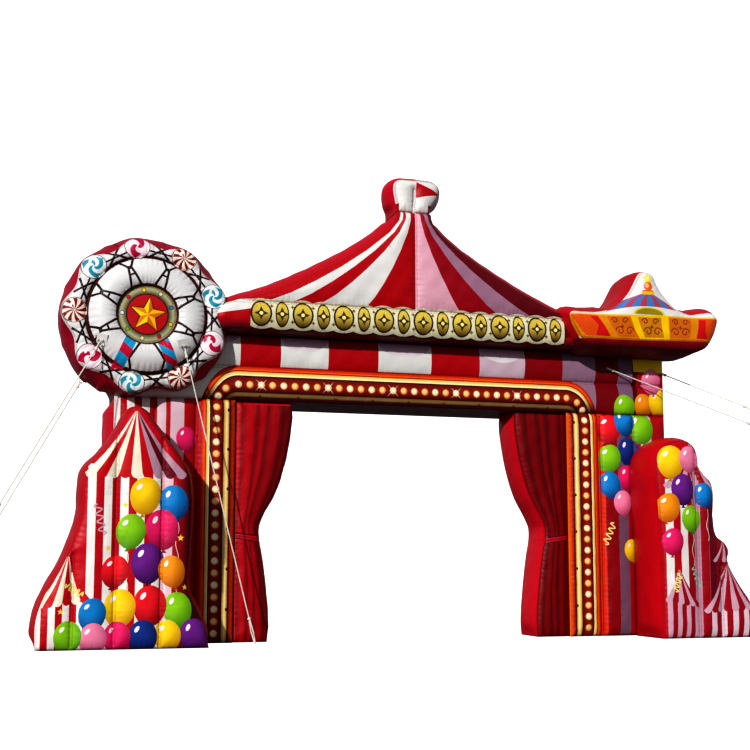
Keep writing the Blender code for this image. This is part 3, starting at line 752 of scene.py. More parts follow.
def bulb(x, z, number, sparkles=False):
    warm = number % 2 == 1
    halo = blend("#a8340c", "#861408", lambda px, pz: (np.hypot(px - x, pz - z) - BULB_R) / 0.014)
    shapes = [(disc(x, z, BULB_R + 0.014), halo), (disc(x, z, BULB_R), "#dea052" if warm else "#dccb98"),
              (disc(x - 0.004, z + 0.004, 0.72 * BULB_R, 12), "#f4d090" if warm else "#f4ebc6")]
    if sparkles and number % 6 == 2:
        shapes.append((star(x, z, 0.090, 4, 0.07, 45), "#fff6da"))
    return shapes


def clip(x, z):
    """A little dark clip on the gold tube."""
    return [(disc(x, z, 0.017, 12), "#4a1008"), (disc(x - 0.004, z + 0.004, 0.006, 8), "#8c4a20")]


def under_shade(ink):
    """The same ink with painted shade: it turns to a dark maroon towards the underside of the beam's lower tube,
    which curves away from the light.
    """
    def result(x, z):
        share = (np.clip((z - SEAM_HEIGHT) / 0.16, 0, 1) ** 1.4)[..., None]
        return ink(x, z) * share + np.array(linear("#3c060c")) * (1 - share)
    return result


def frame_on_tower(side):
    shapes = []
    for r0, r1, near, far in FRAME_BANDS:
        xs = sorted((side * (FRAME_HALF + r0), side * (FRAME_HALF + r1)))
        share = lambda x, z, r0=r0, r1=r1: (np.abs(x) - FRAME_HALF - r0) / (r1 - r0)
        shapes.append((strip(*xs, 0, SEAM_HEIGHT), blend(near, far, share)))
    x = side * (FRAME_HALF + BULB_LINE)
    for number, z in enumerate(np.arange(0.10, SEAM_HEIGHT - 0.05, BULB_PITCH)):
        shapes += bulb(x, z, number + (side > 0))
    for z in np.arange(0.34, SEAM_HEIGHT - 0.1, 0.41):
        shapes += clip(side * (FRAME_HALF + 0.092), z)
    return shapes


def frame_on_header():
    shapes = []
    for r0, r1, near, far in FRAME_BANDS:
        share = lambda x, z, r0=r0, r1=r1: (from_opening(x, z) - r0) / (r1 - r0)
        shapes.append((lintel_band(r0, r1), under_shade(blend(near, far, share))))
    number = 0
    for side in (-1, 1):
        for a in (22, 54):
            x = side * (FRAME_HALF + BULB_LINE * math.cos(math.radians(a)))
            shapes += bulb(x, SEAM_HEIGHT + beam_height(BULB_LINE * math.sin(math.radians(a))), number)
            number += 1
    count = round(2 * FRAME_HALF / BULB_PITCH)
    for number in range(count + 1):
        x = -FRAME_HALF + 2 * FRAME_HALF * number / count
        shapes += bulb(x, SEAM_HEIGHT + beam_height(BULB_LINE), number, True)
    for x in np.arange(-1.64, 1.7, 0.41):
        shapes += clip(x, SEAM_HEIGHT + 0.040)
    return shapes


print("bulbs along the beam:", round(2 * FRAME_HALF / BULB_PITCH) + 1)

# %% [markdown]
# ## Towers and header
# Each upright is three vertical tubes side by side, and the beam across them is two
# tubes one on the other. Outside the bulb frame both carry the tent's stripes.

# %% Towers
def tower(side, prints, ground, wall):
    xs = sorted((side * OPENING_HALF, side * HALF_WIDTH))
    outline = box_outline(xs[0], xs[1], 0, SEAM_HEIGHT)
    webs = [side * (OPENING_HALF + TOWER_TUBE * i) for i in (1, 2)]
    seams = [[(x, z) for z in np.arange(0.012, SEAM_HEIGHT - 0.01, 0.018)] for x in webs]
    node = "tower_left" if side < 0 else "tower_right"
    return chamber(node, outline, 0, BODY_DEPTH, tubes(TOWER_TUBE / 2, seed=1 + side),
                   seams=seams, prints=prints, ground=ground, wall=wall, seed=1 + side,
                   flats=(("x", side * OPENING_HALF), ("z", 0), ("z", SEAM_HEIGHT)))


def stripes(marks, z0, z1):
    """Upright stripes from a list of their left edges and inks, and the last right edge."""
    shapes = []
    for (x0, ink), (x1, _) in zip(marks, marks[1:]):
        shapes.append((strip(x0, x1, z0, z1), ink))
    return shapes


# SHADE_WHITE and the deeper mauve white are white cloth with painted shade, tinted pink and mauve where it lies
# in shade.
RED, WHITE, SHADE_WHITE, DEEP_SHADE_WHITE = "#b00012", "#dedbd6", "#d5b6be", "#785468"


def lit_and_shaded_walls(outer, inner, middle):
    """Painted light and shade on a tower's side walls: one ink for the outer wall and one for the inner, brighter
    where a wall faces the sun and darker where it lies in shade.
    """
    def ink(x, z):
        return np.where((np.abs(x) > middle)[..., None], linear(outer), linear(inner))
    return ink


LEFT_MARKS = [
    (-3.13, WHITE), (-3.07, RED), (-3.005, WHITE), (-2.93, RED), (-2.855, WHITE), (-2.775, RED),
    (-2.70, SHADE_WHITE), (-2.61, RED), (-2.565, SHADE_WHITE), (-2.425, RED), (-2.25, RED),
]
left_print = stripes(LEFT_MARKS, 0, SEAM_HEIGHT) + frame_on_tower(-1)
left_print += balloon(-2.40, 2.08, 0.12, "magenta", 0.1, 0)
tower(-1, left_print, RED, lit_and_shaded_walls("#c20528", "#8a0612", 2.5))

# The right tower's stripes carry painted shade: its whites are printed mauve and pink and its reds darker, as
# cloth in shade.
RIGHT_MARKS = [
    (2.248, "#8c0a0c"), (2.262, "#f0501a"), (2.30, "#d8300e"), (2.346, "#8a0414"), (2.49, DEEP_SHADE_WHITE),
    (2.62, "#a80a1c"), (2.80, "#c9b0b8"), (2.93, "#a80a1c"), (3.13, RED),
]
right_print = stripes(RIGHT_MARKS, 0, SEAM_HEIGHT) + frame_on_tower(1)
RIGHT_BALLOONS = [
    (2.80, 2.36, 0.17, "lime", 0.2), (2.40, 2.34, 0.16, "red", -0.3), (2.60, 2.42, 0.15, "blue", 0.1),
    (2.64, 2.08, 0.16, "navy", 0.2), (2.40, 2.00, 0.15, "lime", -0.2),
    (2.62, 1.78, 0.14, "magenta", 0.1), (2.40, 1.70, 0.14, "blue", 0.2),
    (2.55, 1.50, 0.13, "pink", 0.0), (2.66, 0.96, 0.12, "yellow", 0.2),
]
for x, z, r, ink, lean in RIGHT_BALLOONS:
    right_print += balloon(x, z, r, ink, lean, 0)
right_print += streamer(2.38, 1.14, 0.26, "#f0dc8c", -0.4)
tower(1, right_print, RED, lit_and_shaded_walls("#8a0612", "#8a0612", 2.5))

# %% Header
# Right of the middle the valance carries painted shade: its whites are printed pink and mauve and its reds a
# darker maroon.
VALANCE_MARKS = [
    (-HALF_WIDTH, WHITE), (-1.85, RED), (-1.42, WHITE), (-0.90, RED), (-0.345, WHITE), (0.262, RED),
    (0.826, "#c7adb8"), (1.37, "#8a0414"), (1.83, "#967488"), (2.24, "#7a0414"), (2.53, "#80607a"),
    (2.71, "#5a0410"), (2.77, "#a80a1c"), (HALF_WIDTH, RED),
]
SHADOW_ARCH_DROP = 0.17


def header(prints, ground, wall):
    outline = box_outline(-HALF_WIDTH, HALF_WIDTH, SEAM_HEIGHT + GAP, HEADER_TOP)
    middle = (SEAM_HEIGHT + HEADER_TOP) / 2
    seam = [(x, middle) for x in np.arange(-HALF_WIDTH + 0.012, HALF_WIDTH - 0.01, 0.018)]
    return chamber("header", outline, 0, BODY_DEPTH, tubes(0.175, seed=3.0), seams=[seam],
                   prints=prints, ground=ground, wall=wall, seed=3.0,
                   flats=(("z", SEAM_HEIGHT), ("z", HEADER_TOP)))


def header_walls(x, z):
    """Painted shade underneath: a dark maroon on the beam's underside, which lies in shade; crimson at the ends.
    """
    return np.where((z < SEAM_HEIGHT + 0.01)[..., None], linear("#5c0814"), linear("#a00818"))


header_print = stripes(VALANCE_MARKS, SEAM_HEIGHT, HEADER_TOP)
header_print += [(strip(2.72, HALF_WIDTH, 3.00, HEADER_TOP), "#f8d01c")]
# Painted shadow: an arch of pink-mauve at the top of four white stripes, where the eave's shadow falls on the
# valance.
for x0, x1 in ((-HALF_WIDTH, -1.85), (-1.42, -0.90), (-0.345, 0.262), (0.826, 1.37)):
    arch = [(x0 + (x1 - x0) * (1 + math.cos(a)) / 2, HEADER_TOP - SHADOW_ARCH_DROP * math.sin(a))
            for a in np.linspace(math.pi, 0, 15)]
    header_print.append((arch, blend(WHITE, "#c796b4", lambda x, z: (z - HEADER_TOP + SHADOW_ARCH_DROP) / 0.13)))
header_print += frame_on_header()
for x, z, r, ink in ((2.60, 2.58, 0.15, "lime"), (2.84, 2.62, 0.13, "orange"),
                     (3.04, 2.66, 0.15, "yellow"), (2.95, 2.90, 0.14, "pink")):
    header_print += balloon(x, z, r, ink, 0.15, 0)
header(header_print, RED, header_walls)

# %% [markdown]
# ## Tent roof
# The roof is one chamber with a straight eave band and two slopes. Its seams are sewn
# to short inner webs, so they draw the cloth in by half only. The stripes are parts of
# one fan: each keeps its share of the half width from the neck down to the eave.

# %% Roof
ROOF_NECK = 4.60
EAVE_SEAM = 3.50
ROOF_HALF = [
    (2.08, HEADER_TOP + GAP), (2.17, 3.30), (2.14, 3.42), (1.95, 3.51), (1.66, 3.61), (1.33, 3.76),
    (1.00, 3.93), (0.66, 4.13), (0.35, 4.35), (0.22, 4.49), (0.19, ROOF_NECK),
]
ROOF_OUTLINE = smoothed(ROOF_HALF + [(-x, z) for x, z in reversed(ROOF_HALF)], corners=(0, 10, 11, 21))
ROOF_OUTLINE[:, 1] = np.clip(ROOF_OUTLINE[:, 1], HEADER_TOP + GAP, ROOF_NECK)


def roof_height(points, gap, run):
    x, z = points.T
    edge, _ = along(points, as_loop(ROOF_OUTLINE))
    eave = np.abs(z - EAVE_SEAM)
    inner = np.minimum(eave, np.where(z > EAVE_SEAM, np.abs(x), 9))
    band = swell(np.minimum(edge, eave), 0.15, 0.09)
    slope = swell(np.minimum(edge, inner), 0.32, 0.12)
    calm = np.clip(gap / 0.08, 0, 1)
    return (0.5 * (swell(edge, 0.15, 0.09) + np.where(z < EAVE_SEAM, band, slope))
            + creases(gap, run, 5.0, reach=0.07) + unevenness(points, 5.0, 0.005) * calm)


ROOF_HEIGHTS, ROOF_WIDTHS = zip(*sorted((z, x) for x, z in ROOF_HALF))


def roof_width(z):
    return float(np.interp(z, ROOF_HEIGHTS, ROOF_WIDTHS))


FAN_HEIGHTS = (HEADER_TOP, 3.30, 3.42, 3.51, 3.61, 3.76, 3.93, 4.13, 4.35, 4.49, ROOF_NECK)


def fan(f0, f1):
    """A stripe between two shares of the half width, wide enough to reach over the edge."""
    one = [(f0 * roof_width(z), z) for z in FAN_HEIGHTS]
    return one + [(f1 * roof_width(z), z) for z in FAN_HEIGHTS][::-1]


FAN_LEFT = [(0, 0.285, RED), (0.285, 0.545, WHITE), (0.545, 0.70, RED), (0.70, 0.83, WHITE),
            (0.83, 1.08, RED)]
# The right half of the roof carries painted shade: its whites are printed pink and mauve and its reds darker, as
# the half that turns away from the light.
FAN_RIGHT = [(0, 0.26, "#d8a2b0"), (0.26, 0.485, "#98061c"), (0.485, 0.69, "#a2788c"),
             (0.69, 1.08, "#6a0618")]
roof_print = [(fan(-a, -b), ink) for a, b, ink in FAN_LEFT]
roof_print += [(fan(a, b), ink) for a, b, ink in FAN_RIGHT]

# %% Shade and sign board on the eave
EAVE_SHADOW = "#6a1c2c"
SIGN_LEFT, SIGN_RIGHT, SIGN_LOW, SIGN_HIGH = -1.80, 1.73, 3.215, 3.535
MEDALLIONS = 16


def sign_board():
    """A cream board with a lobed edge and a row of gold medallions."""
    middle, half = (SIGN_LOW + SIGN_HIGH) / 2, (SIGN_HIGH - SIGN_LOW) / 2
    pitch = (SIGN_RIGHT - SIGN_LEFT) / MEDALLIONS
    lobes = []
    for way in (-1, 1):
        edge = []
        for x in np.arange(SIGN_LEFT, SIGN_RIGHT + 0.001, pitch / 8):
            lobe = abs(math.sin(math.pi * (x - SIGN_LEFT) / pitch))
            edge.append((x, middle + way * half * (0.86 + 0.14 * lobe)))
        lobes += edge[::-way]
    gold = blend("#5a3e1a", "#d4bc50", lambda x, z: (z - SIGN_LOW - 0.04) / 0.15)
    shapes = [([(x + 0.012, z - 0.014) for x, z in lobes], "#3c0a10"), (lobes, "#dcd6b6")]
    for i in range(MEDALLIONS):
        x = SIGN_LEFT + (i + 0.5) * pitch
        squash = (0.78, 0.5)[i % 2]
        shapes += [(disc(x, middle, 0.86 * half, 20, squash * 1.06), "#2c1a0c"),
                   (disc(x, middle, 0.76 * half, 20, squash), gold),
                   (star(x, middle, 0.46 * half, 4, 0.45), "#4a3418"),
                   (disc(x, middle, 0.13 * half, 8), "#f2e6a0")]
        if i:
            shapes += [(star(x - pitch / 2, middle + 0.5 * half, 0.024, 4, 0.5), "#7a5c24"),
                       (star(x - pitch / 2, middle - 0.5 * half, 0.024, 4, 0.5), "#7a5c24")]
    return shapes


def roof_walls(x, z):
    """Crimson along the slopes, and painted shadow in dark maroon under the eave."""
    return np.where((z < 3.30)[..., None], linear(EAVE_SHADOW), linear("#b80422"))


def roof(prints, ground, wall):
    seams = [[(x, EAVE_SEAM) for x in np.arange(-1.94, 1.95, 0.02)],
             [(0, z) for z in np.arange(EAVE_SEAM + 0.02, ROOF_NECK - 0.015, 0.02)]]
    return chamber("roof", ROOF_OUTLINE, -0.25, 0.25, roof_height, seams=seams, prints=prints,
                   ground=ground, wall=wall, flats=(("z", HEADER_TOP + GAP), ("z", ROOF_NECK)), seed=5.0)


# The eave band turns to a painted shade of maroon towards its foot, where it curves under, and the outer white
# stripe runs on to its left end.
EAVE_END = [(-2.20, 3.34), (-1.78, 3.42), (-1.40, 3.50), (-1.62, 3.53), (-1.95, 3.52), (-2.20, 3.44)]
eave_shade_ink = blend(EAVE_SHADOW, RED, lambda x, z: (z - 3.21) / 0.10)
roof_print += [(strip(-2.3, 2.3, 3.1, 3.30), eave_shade_ink), (strip(-2.3, 2.3, 3.1, 3.222), EAVE_SHADOW)]
roof_print += [(EAVE_END, WHITE)]
roof(roof_print + sign_board(), RED, roof_walls)

# %% Top block
TOP_OUTLINE = smoothed(
    [(0.19, ROOF_NECK + GAP), (0.20, 4.67), (0.26, 4.76), (0.30, 4.86), (0.29, 4.93), (0.23, 4.97),
     (0.10, 4.98),
     (-0.03, 4.98), (-0.16, 4.97), (-0.21, 4.93), (-0.22, 4.86), (-0.205, 4.76), (-0.19, 4.67),
     (-0.19, ROOF_NECK + GAP)], corners=(0, 13))
PENNANT = [(0.03, 4.955), (0.03, 4.775), (0.31, 4.83)]


def top_height(points, gap, run):
    x, z = points.T
    pleat = (1 - np.abs(np.sin(math.pi * x / 0.045))) ** 2
    pleat = pleat * np.clip((4.76 - z) / 0.15, 0, 1) * np.clip(gap / 0.02, 0, 1)
    return swell(gap, 0.14, 0.07) + creases(gap, run, 2.0, 0.006, 0.06) - 0.008 * pleat


def top_block(prints, ground, wall):
    seam = [(0.01 * (z - ROOF_NECK) / 0.28, z) for z in np.arange(ROOF_NECK + 0.015, 4.88, 0.015)]
    return chamber("top_block", TOP_OUTLINE, -0.20, 0.20, top_height, seams=[seam],
                   prints=prints, ground=ground, wall=wall, bulge=0.06, flats=(("z", ROOF_NECK + GAP),), seed=2.0)


def top_walls(x, z):
    """Red on the left, white in shade on the right."""
    return np.where((x < 0.05)[..., None], linear("#c20528"), linear("#b7a7ac"))


top_print = [(PENNANT, RED)] + [(strip(x, x + 0.055, 4.60, 4.70), RED) for x in (-0.22, 0.165)]
top_block(top_print, WHITE, top_walls)

# %% [markdown]
# ## Big wheel
# A puffed disc with a hub, a fat ring and a rim of nine lobes. The ring seams are round,
# so the cloth between them gathers into pleats like spokes of light.

# %% Wheel
WHEEL_X, WHEEL_Z = -2.85, 3.29
WHEEL_RIM, WHEEL_LOBE, WHEEL_LOBES, WHEEL_SLACK = 0.78, 0.042, 9, 0.02
RING_SEAM_R, HUB_R = 0.60, 0.29
WHEEL_WAIST = 0.858


def wheel_rim(angle):
    lobes = WHEEL_LOBE * np.cos(WHEEL_LOBES * (angle - math.radians(99)))
    return WHEEL_RIM + lobes + WHEEL_SLACK * np.cos(2 * angle)


def wheel_bulge(x, z):
    """The side wall pulls itself nearly round between its lobed edges, and lies flat over the tower."""
    flat = np.clip((WHEEL_Z - 0.55 - z) / 0.15, 0, 1) * np.clip((x - WHEEL_X + 0.35) / 0.2, 0, 1)
    return np.maximum(0.01, WHEEL_WAIST - np.hypot(x - WHEEL_X, z - WHEEL_Z)) * (1 - flat)


def wheel_point(r, degrees):
    a = math.radians(degrees)
    return WHEEL_X + r * math.cos(a), WHEEL_Z + r * math.sin(a)


def wheel_height(points, gap, run):
    x, z = points[:, 0] - WHEEL_X, points[:, 1] - WHEEL_Z
    r, a = np.hypot(x, z), np.arctan2(z, x)
    hub = 0.085 + 0.015 * (1 - (r / HUB_R) ** 2)
    u = np.clip((r - HUB_R) / (RING_SEAM_R - HUB_R), 0, 1)
    ring = 0.075 * (1 - u) + 0.015 * u + 0.11 * np.sqrt(np.clip(1 - (2 * u - 1) ** 2, 0, 1))
    pleat = (1 - np.abs(np.sin(0.5 * 58 * a + 1.3 * np.sin(5 * a)))) ** 2
    ring -= 0.016 * pleat * np.abs(2 * u - 1) ** 1.2 * np.clip(u * 14, 0, 1) * np.clip((1 - u) * 14, 0, 1)
    v = np.clip((r - RING_SEAM_R) / (wheel_rim(a) - RING_SEAM_R), 0, 1)
    rim = 0.015 * (1 - v) + 0.055 * np.sqrt(np.clip(1 - (2 * v - 1) ** 2, 0, 1))
    rim -= 0.008 * pleat * np.clip(v * 9, 0, 1) * np.clip((1 - v) * 9, 0, 1)
    return np.where(r <= HUB_R, hub, np.where(r <= RING_SEAM_R, ring, rim))


def ring_halves(r0, r1, ink):
    """A ring about the wheel's centre, drawn as two halves."""
    shapes = []
    for start in (0, 180):
        turns = np.linspace(start, start + 180, 40)
        half = [wheel_point(r1, a) for a in turns] + [wheel_point(r0, a) for a in turns[::-1]]
        shapes.append((half, ink))
    return shapes


def bar(r0, a0, r1, a1, width):
    """A straight bar between two points given by their radius and angle."""
    return ribbon([wheel_point(r0, a0), wheel_point(r1, a1)], width)


def candy(r, degrees, size, inks, sectors, turns):
    """A round boiled sweet: many straight sectors, or a few wide swirls."""
    x, z = wheel_point(r, degrees)
    shapes = [(disc(x, z, size * 1.06, 24), "#5a2622"), (disc(x, z, size, 24), inks[1])]
    for i in range(sectors):
        edge = []
        for shift, way in ((0, 1), (180 / sectors, -1)):
            line = []
            for t in np.linspace(0.06, 0.98, 9):
                a = math.radians(360 * i / sectors + shift + degrees) + turns * t
                line.append((x + size * t * math.cos(a), z + size * t * math.sin(a)))
            edge += line[::way]
        shapes.append((edge, inks[0]))
    shapes.append((disc(x - 0.3 * size, z + 0.4 * size, 0.2 * size, 8, 0.6, -0.5), "#fff7f2"))
    return shapes


LAMP_INKS = ("#f2c81e", "#c8142a", "#cfe0ee", "#7aa83c", "#e6d6a8", "#c8142a", "#f2c81e", "#3f7fc0",
             "#e6d6a8")
SWEETS = [  # inks, sectors, turns of the spiral
    (("#7e1f18", "#f2e0d2"), 9, 0.35), (("#2c97aa", "#eef4f2"), 3, 2.6), (("#bc1048", "#f6e4e8"), 2, 2.9),
]


def wheel_print():
    shapes = []
    dark, wood = "#2a1210", "#3c1814"
    for i in range(WHEEL_LOBES):
        a = 79 + 40 * i
        for way in (-1, 1):
            shapes.append((bar(0.61, a + way * 9, 0.75, a - way * 6, 0.022), dark))
        shapes.append((bar(0.67, a - 13, 0.67, a + 13, 0.018), dark))
    shapes += ring_halves(0.576, 0.614, wood)
    for i in range(8):
        a = 22.5 + 45 * i
        for way in (-1, 1):
            shapes.append((bar(0.29, a + way * 11, 0.50, a + way * 1.6, 0.024), dark))
            shapes.append((bar(0.49, a + way * 1.2, 0.59, a + way * 7.5, 0.024), dark))
        shapes.append((bar(0.42, a - 4.6, 0.42, a + 4.6, 0.020), dark))
        shapes.append((disc(*wheel_point(0.495, a), 0.020, 10), dark))
    for side in (-1, 1):
        top = np.array(wheel_point(0.25, -90 + 32 * side))
        foot = np.array(wheel_point(0.63, -90 + 27 * side))
        across = np.array([0.064, 0.0])
        for k in range(-1, 4):
            marks = [min(1.0, max(0.0, (k + step) / 4)) for step in (0, 1, 1.9, 0.9)]
            corners = [top + (foot - top) * t + across * (-1, -1, 1, 1)[i] for i, t in enumerate(marks)]
            shapes.append(([tuple(p) for p in corners], ("#149cc8", "#c4103e")[(k + (side > 0)) % 2]))
    shapes += ring_halves(0.276, 0.312, "#3a2212")
    brass = blend("#b8b48c", "#5c583c",
                  lambda x, z: np.abs(np.hypot(x - WHEEL_X, z - WHEEL_Z) - 0.262) / 0.045)
    shapes += ring_halves(0.205, 0.245, brass) + ring_halves(0.245, 0.292, brass)
    for i, ink in enumerate(LAMP_INKS):
        x, z = wheel_point(0.25, 99 + 40 * i)
        shapes += [(disc(x, z, 0.024, 10), "#3a2212"), (disc(x, z, 0.018, 10), ink)]
    shapes += [(disc(WHEEL_X, WHEEL_Z, r, 36), ink) for r, ink in ((0.212, "#3a1408"), (0.200, "#b8121e"))]
    shapes += gold_star(WHEEL_X + 0.005, WHEEL_Z - 0.005, 0.180, 84)
    for i in range(WHEEL_LOBES):
        shapes += candy(0.71, 179 - 40 * i, 0.122, *SWEETS[i % 3])
    return shapes


def gold_star(x, z, r, turn, waist=0.42):
    """A bevelled star: each of its ten faces is light or dark by the way it looks."""
    tips = star(x, z, r, 5, waist, turn)
    shapes = [(star(x, z, r * 1.12, 5, waist * 1.08, turn), "#5a2408")]
    for i in range(10):
        face = [(x, z), tips[i], tips[(i + 1) % 10]]
        shapes.append((face, ("#ffd21c", "#e08a10", "#f6b416", "#c8700c")[(i % 2) + 2 * (i > 4)]))
    return shapes


def wheel(prints, ground, wall):
    turn = np.arange(-180, 180, 1.5)
    outline = np.array([wheel_point(wheel_rim(math.radians(a)), a) for a in turn])
    seams = [[wheel_point(r, a) for a in np.append(turn, 180)] for r in (HUB_R, RING_SEAM_R)]
    far = lambda points, gap, run: swell(gap, 0.30, 0.10)
    return chamber("wheel", outline, -0.25, 0.35, wheel_height, far, seams=seams,
                   prints=prints, ground=ground, wall=wall, bulge=wheel_bulge, seed=7.0, fine=0.012)


wheel(wheel_print(), "#dcdad8", "#9c0a2a")

# %% [markdown]
# ## Carousel canopy
# A cut-out chamber printed as the rounded rim of a roundabout's roof, with panels between
# ribs that lean towards the middle, and a small striped canopy on top.

# %% Canopy
CANOPY_BASE = HEADER_TOP - 0.01
CANOPY_OUTLINE = smoothed(
    [(1.98, CANOPY_BASE), (3.28, CANOPY_BASE), (3.42, 3.24), (3.50, 3.34), (3.56, 3.47), (3.58, 3.59),
     (3.52, 3.65),
     (3.40, 3.645), (3.23, 3.62), (3.04, 3.69), (2.89, 3.83), (2.81, 3.95), (2.77, 4.04), (2.69, 4.08),
     (2.61, 4.06), (2.55, 3.97), (2.47, 3.83), (2.36, 3.71), (2.21, 3.62), (2.05, 3.585), (1.90, 3.58),
     (1.75, 3.56), (1.76, 3.46), (1.82, 3.34), (1.89, 3.24)], corners=(0, 1))
CANOPY_SHADOW = "#6a0c18"
RIM_LOW, RIM_HIGH = 3.285, 3.555
RIBS = [(1.68, 1.86), (2.09, 2.26), (2.47, 2.585), (2.865, 2.89), (3.26, 3.215), (3.64, 3.52)]


def rim_point(share, height):
    """A place on the rim: share counts ribs from the left, height runs from 0 to 1."""
    k = min(int(share), len(RIBS) - 2)
    top = RIBS[k][0] + (RIBS[k + 1][0] - RIBS[k][0]) * (share - k)
    low = RIBS[k][1] + (RIBS[k + 1][1] - RIBS[k][1]) * (share - k)
    lift = 0.035 * max(0.0, share - 1.5) / 3.5
    bend = 0.45 * height * (1 - height)
    return low + (top - low) * (height + bend), RIM_LOW + (RIM_HIGH - RIM_LOW) * height + lift


def rim_patch(a, b, low, high, count=6):
    left = [rim_point(a, h) for h in np.linspace(low, high, count)]
    top = [rim_point(s, high) for s in np.linspace(a, b, count)]
    right = [rim_point(b, h) for h in np.linspace(high, low, count)]
    bottom = [rim_point(s, low) for s in np.linspace(b, a, count)]
    return left[:-1] + top[:-1] + right[:-1] + bottom[:-1]


def scroll(x, z, size, way, turns=1.15):
    """A curl of scrollwork, as a ribbon that narrows with its turn."""
    line = []
    for t in np.linspace(0, 1, 16):
        a = math.tau * turns * t
        r = size * (1 - 0.8 * t)
        line.append((x + way * r * math.cos(a), z + r * math.sin(a)))
    return ribbon(line, 0.014)


def rim_panel(k, ink, scroll_ink):
    shapes = [(rim_patch(k + 0.13, k + 0.87, 0.07, 0.90), ink)]
    middle = k + 0.5
    for height, size in ((0.31, 0.054), (0.73, 0.040)):
        for way in (-1, 1):
            x, z = rim_point(middle + way * 0.17, height)
            shapes.append((scroll(x, z, size, way), scroll_ink))
    x, z = rim_point(middle, 0.50)
    return shapes + [(star(x, z, 0.03, 4, 0.4), scroll_ink)]


def canopy_print():
    foot = [(1.6, 3.1), (3.7, 3.1), (3.7, 3.36), (3.5, RIM_LOW + 0.03), (1.85, RIM_LOW - 0.01), (1.6, 3.36)]
    # Painted shadow: below the rim the foot runs from crimson down to a dark maroon, where the rim's underside
    # lies in shade.
    shapes = [(foot, blend(CANOPY_SHADOW, "#96121e", lambda x, z: (z - 3.19) / 0.1))]
    shapes += [(rim_patch(0, 5, -0.04, 1.0, 30), "#d88810"), (rim_patch(0, 5, 0.94, 1.0, 30), "#e8b440"),
               (rim_patch(0, 5, -0.05, 0.02, 30), "#b86a20")]
    shapes += [(rim_patch(2 - 0.1, 3 + 0.1, 0, 1, 8), "#ecc000")]
    shapes += [(rim_patch(start, end, 0.05, 0.93), "#d65410")
               for start, end in ((0.15, 0.86), (4.12, 4.97))]
    for drape in (((0.42, 0.06), (0.86, 0.06), (0.86, 0.88), (0.62, 0.88), (0.72, 0.5)),
                  ((4.14, 0.06), (4.62, 0.06), (4.40, 0.4), (4.36, 0.88), (4.14, 0.88))):
        shapes.append(([rim_point(share, height) for share, height in drape], "#c8121a"))
    for k, inks in enumerate((("#cc6c10", "#8c3c08"), ("#cc820e", "#7c4408"), ("#cc6c10", "#8c3c08"))):
        shapes += rim_panel(k + 1, *inks)
    return shapes + small_canopy()


def small_canopy():
    """The striped canopy over the rim, with a ball and a star on its peak."""
    peak = (2.665, 3.84)
    stripes_across = 9
    low = []
    for i in range(stripes_across + 1):
        t = i / stripes_across
        low.append((2.17 + 0.86 * t, 3.595 + 0.045 * math.sin(math.pi * t) + 0.045 * t))
    shapes = []
    for i in range(stripes_across):
        (x0, z0), (x1, z1) = low[i], low[i + 1]
        hip = [peak[0] + 0.72 * (x - peak[0]) for x in (x0, x1)]
        rise = [3.725 + 0.035 * math.sin(math.pi * t / stripes_across) for t in (i, i + 1)]
        top = [peak[0] + 0.13 * (x - peak[0]) for x in (x0, x1)]
        shape = [(x0, z0), (x1, z1), (hip[1], rise[1] - 0.02), (top[1], peak[1] - 0.03),
                 (top[0], peak[1] - 0.03), (hip[0], rise[0] - 0.02)]
        shapes.append((shape, ("#b4485e", "#4a83bc")[i % 2]))
    for size, ink in ((1.0, "#e0cc1a"), (0.86, "#9c8c10")):
        shapes.append(([(2.67 + 0.20 * size * math.cos(a), 3.57 + 0.085 * size * math.sin(a))
                        for a in np.linspace(0, math.pi, 16)], ink))
    shapes += [(strip(2.585, 2.745, 3.80, 3.835), "#f4b81c"), (strip(2.60, 2.73, 3.835, 3.85), "#c87a10")]
    shapes += [(disc(2.67, 3.895, 0.052, 20), "#e0661c"), (disc(2.655, 3.905, 0.028, 12), "#f6b48c"),
               (star(2.672, 3.985, 0.072, 5, 0.45), "#f0cc18"),
               (star(2.672, 3.985, 0.045, 5, 0.45), "#fbe66a")]
    return shapes


def canopy_bulge(x, z):
    """The wall is fullest along the top, on both sides of the peak, and thin at the lower right."""
    top = np.clip((z - 3.53) / 0.05, 0, 1) * np.clip((np.abs(x - 2.66) - 0.38) / 0.15, 0, 1)
    low = np.clip((x - 3.20) / 0.2, 0, 1) * np.clip((3.55 - z) / 0.1, 0, 1)
    return 0.04 + 0.06 * top - 0.035 * low


def canopy(prints, ground, wall):
    return chamber("canopy", CANOPY_OUTLINE, -0.45, 0.20, tubes(0.18, 0.10, seed=9.0),
                   prints=prints, ground=ground, wall=wall, bulge=canopy_bulge, seed=9.0, fine=0.012)


def canopy_walls(x, z):
    # Painted shadow in dark maroon on the walls under the canopy, crimson above.
    return np.where((z < 3.30)[..., None], linear(CANOPY_SHADOW), linear("#b4061c"))


canopy(canopy_print(), "#dedad4", canopy_walls)

# %% [markdown]
# ## Cut-out wings
# Two thinner chambers in front of the towers are cut to the outline of a striped tent
# with balloons beside it. The tent follows the outline, and its stripes end in scallops
# along the eave.

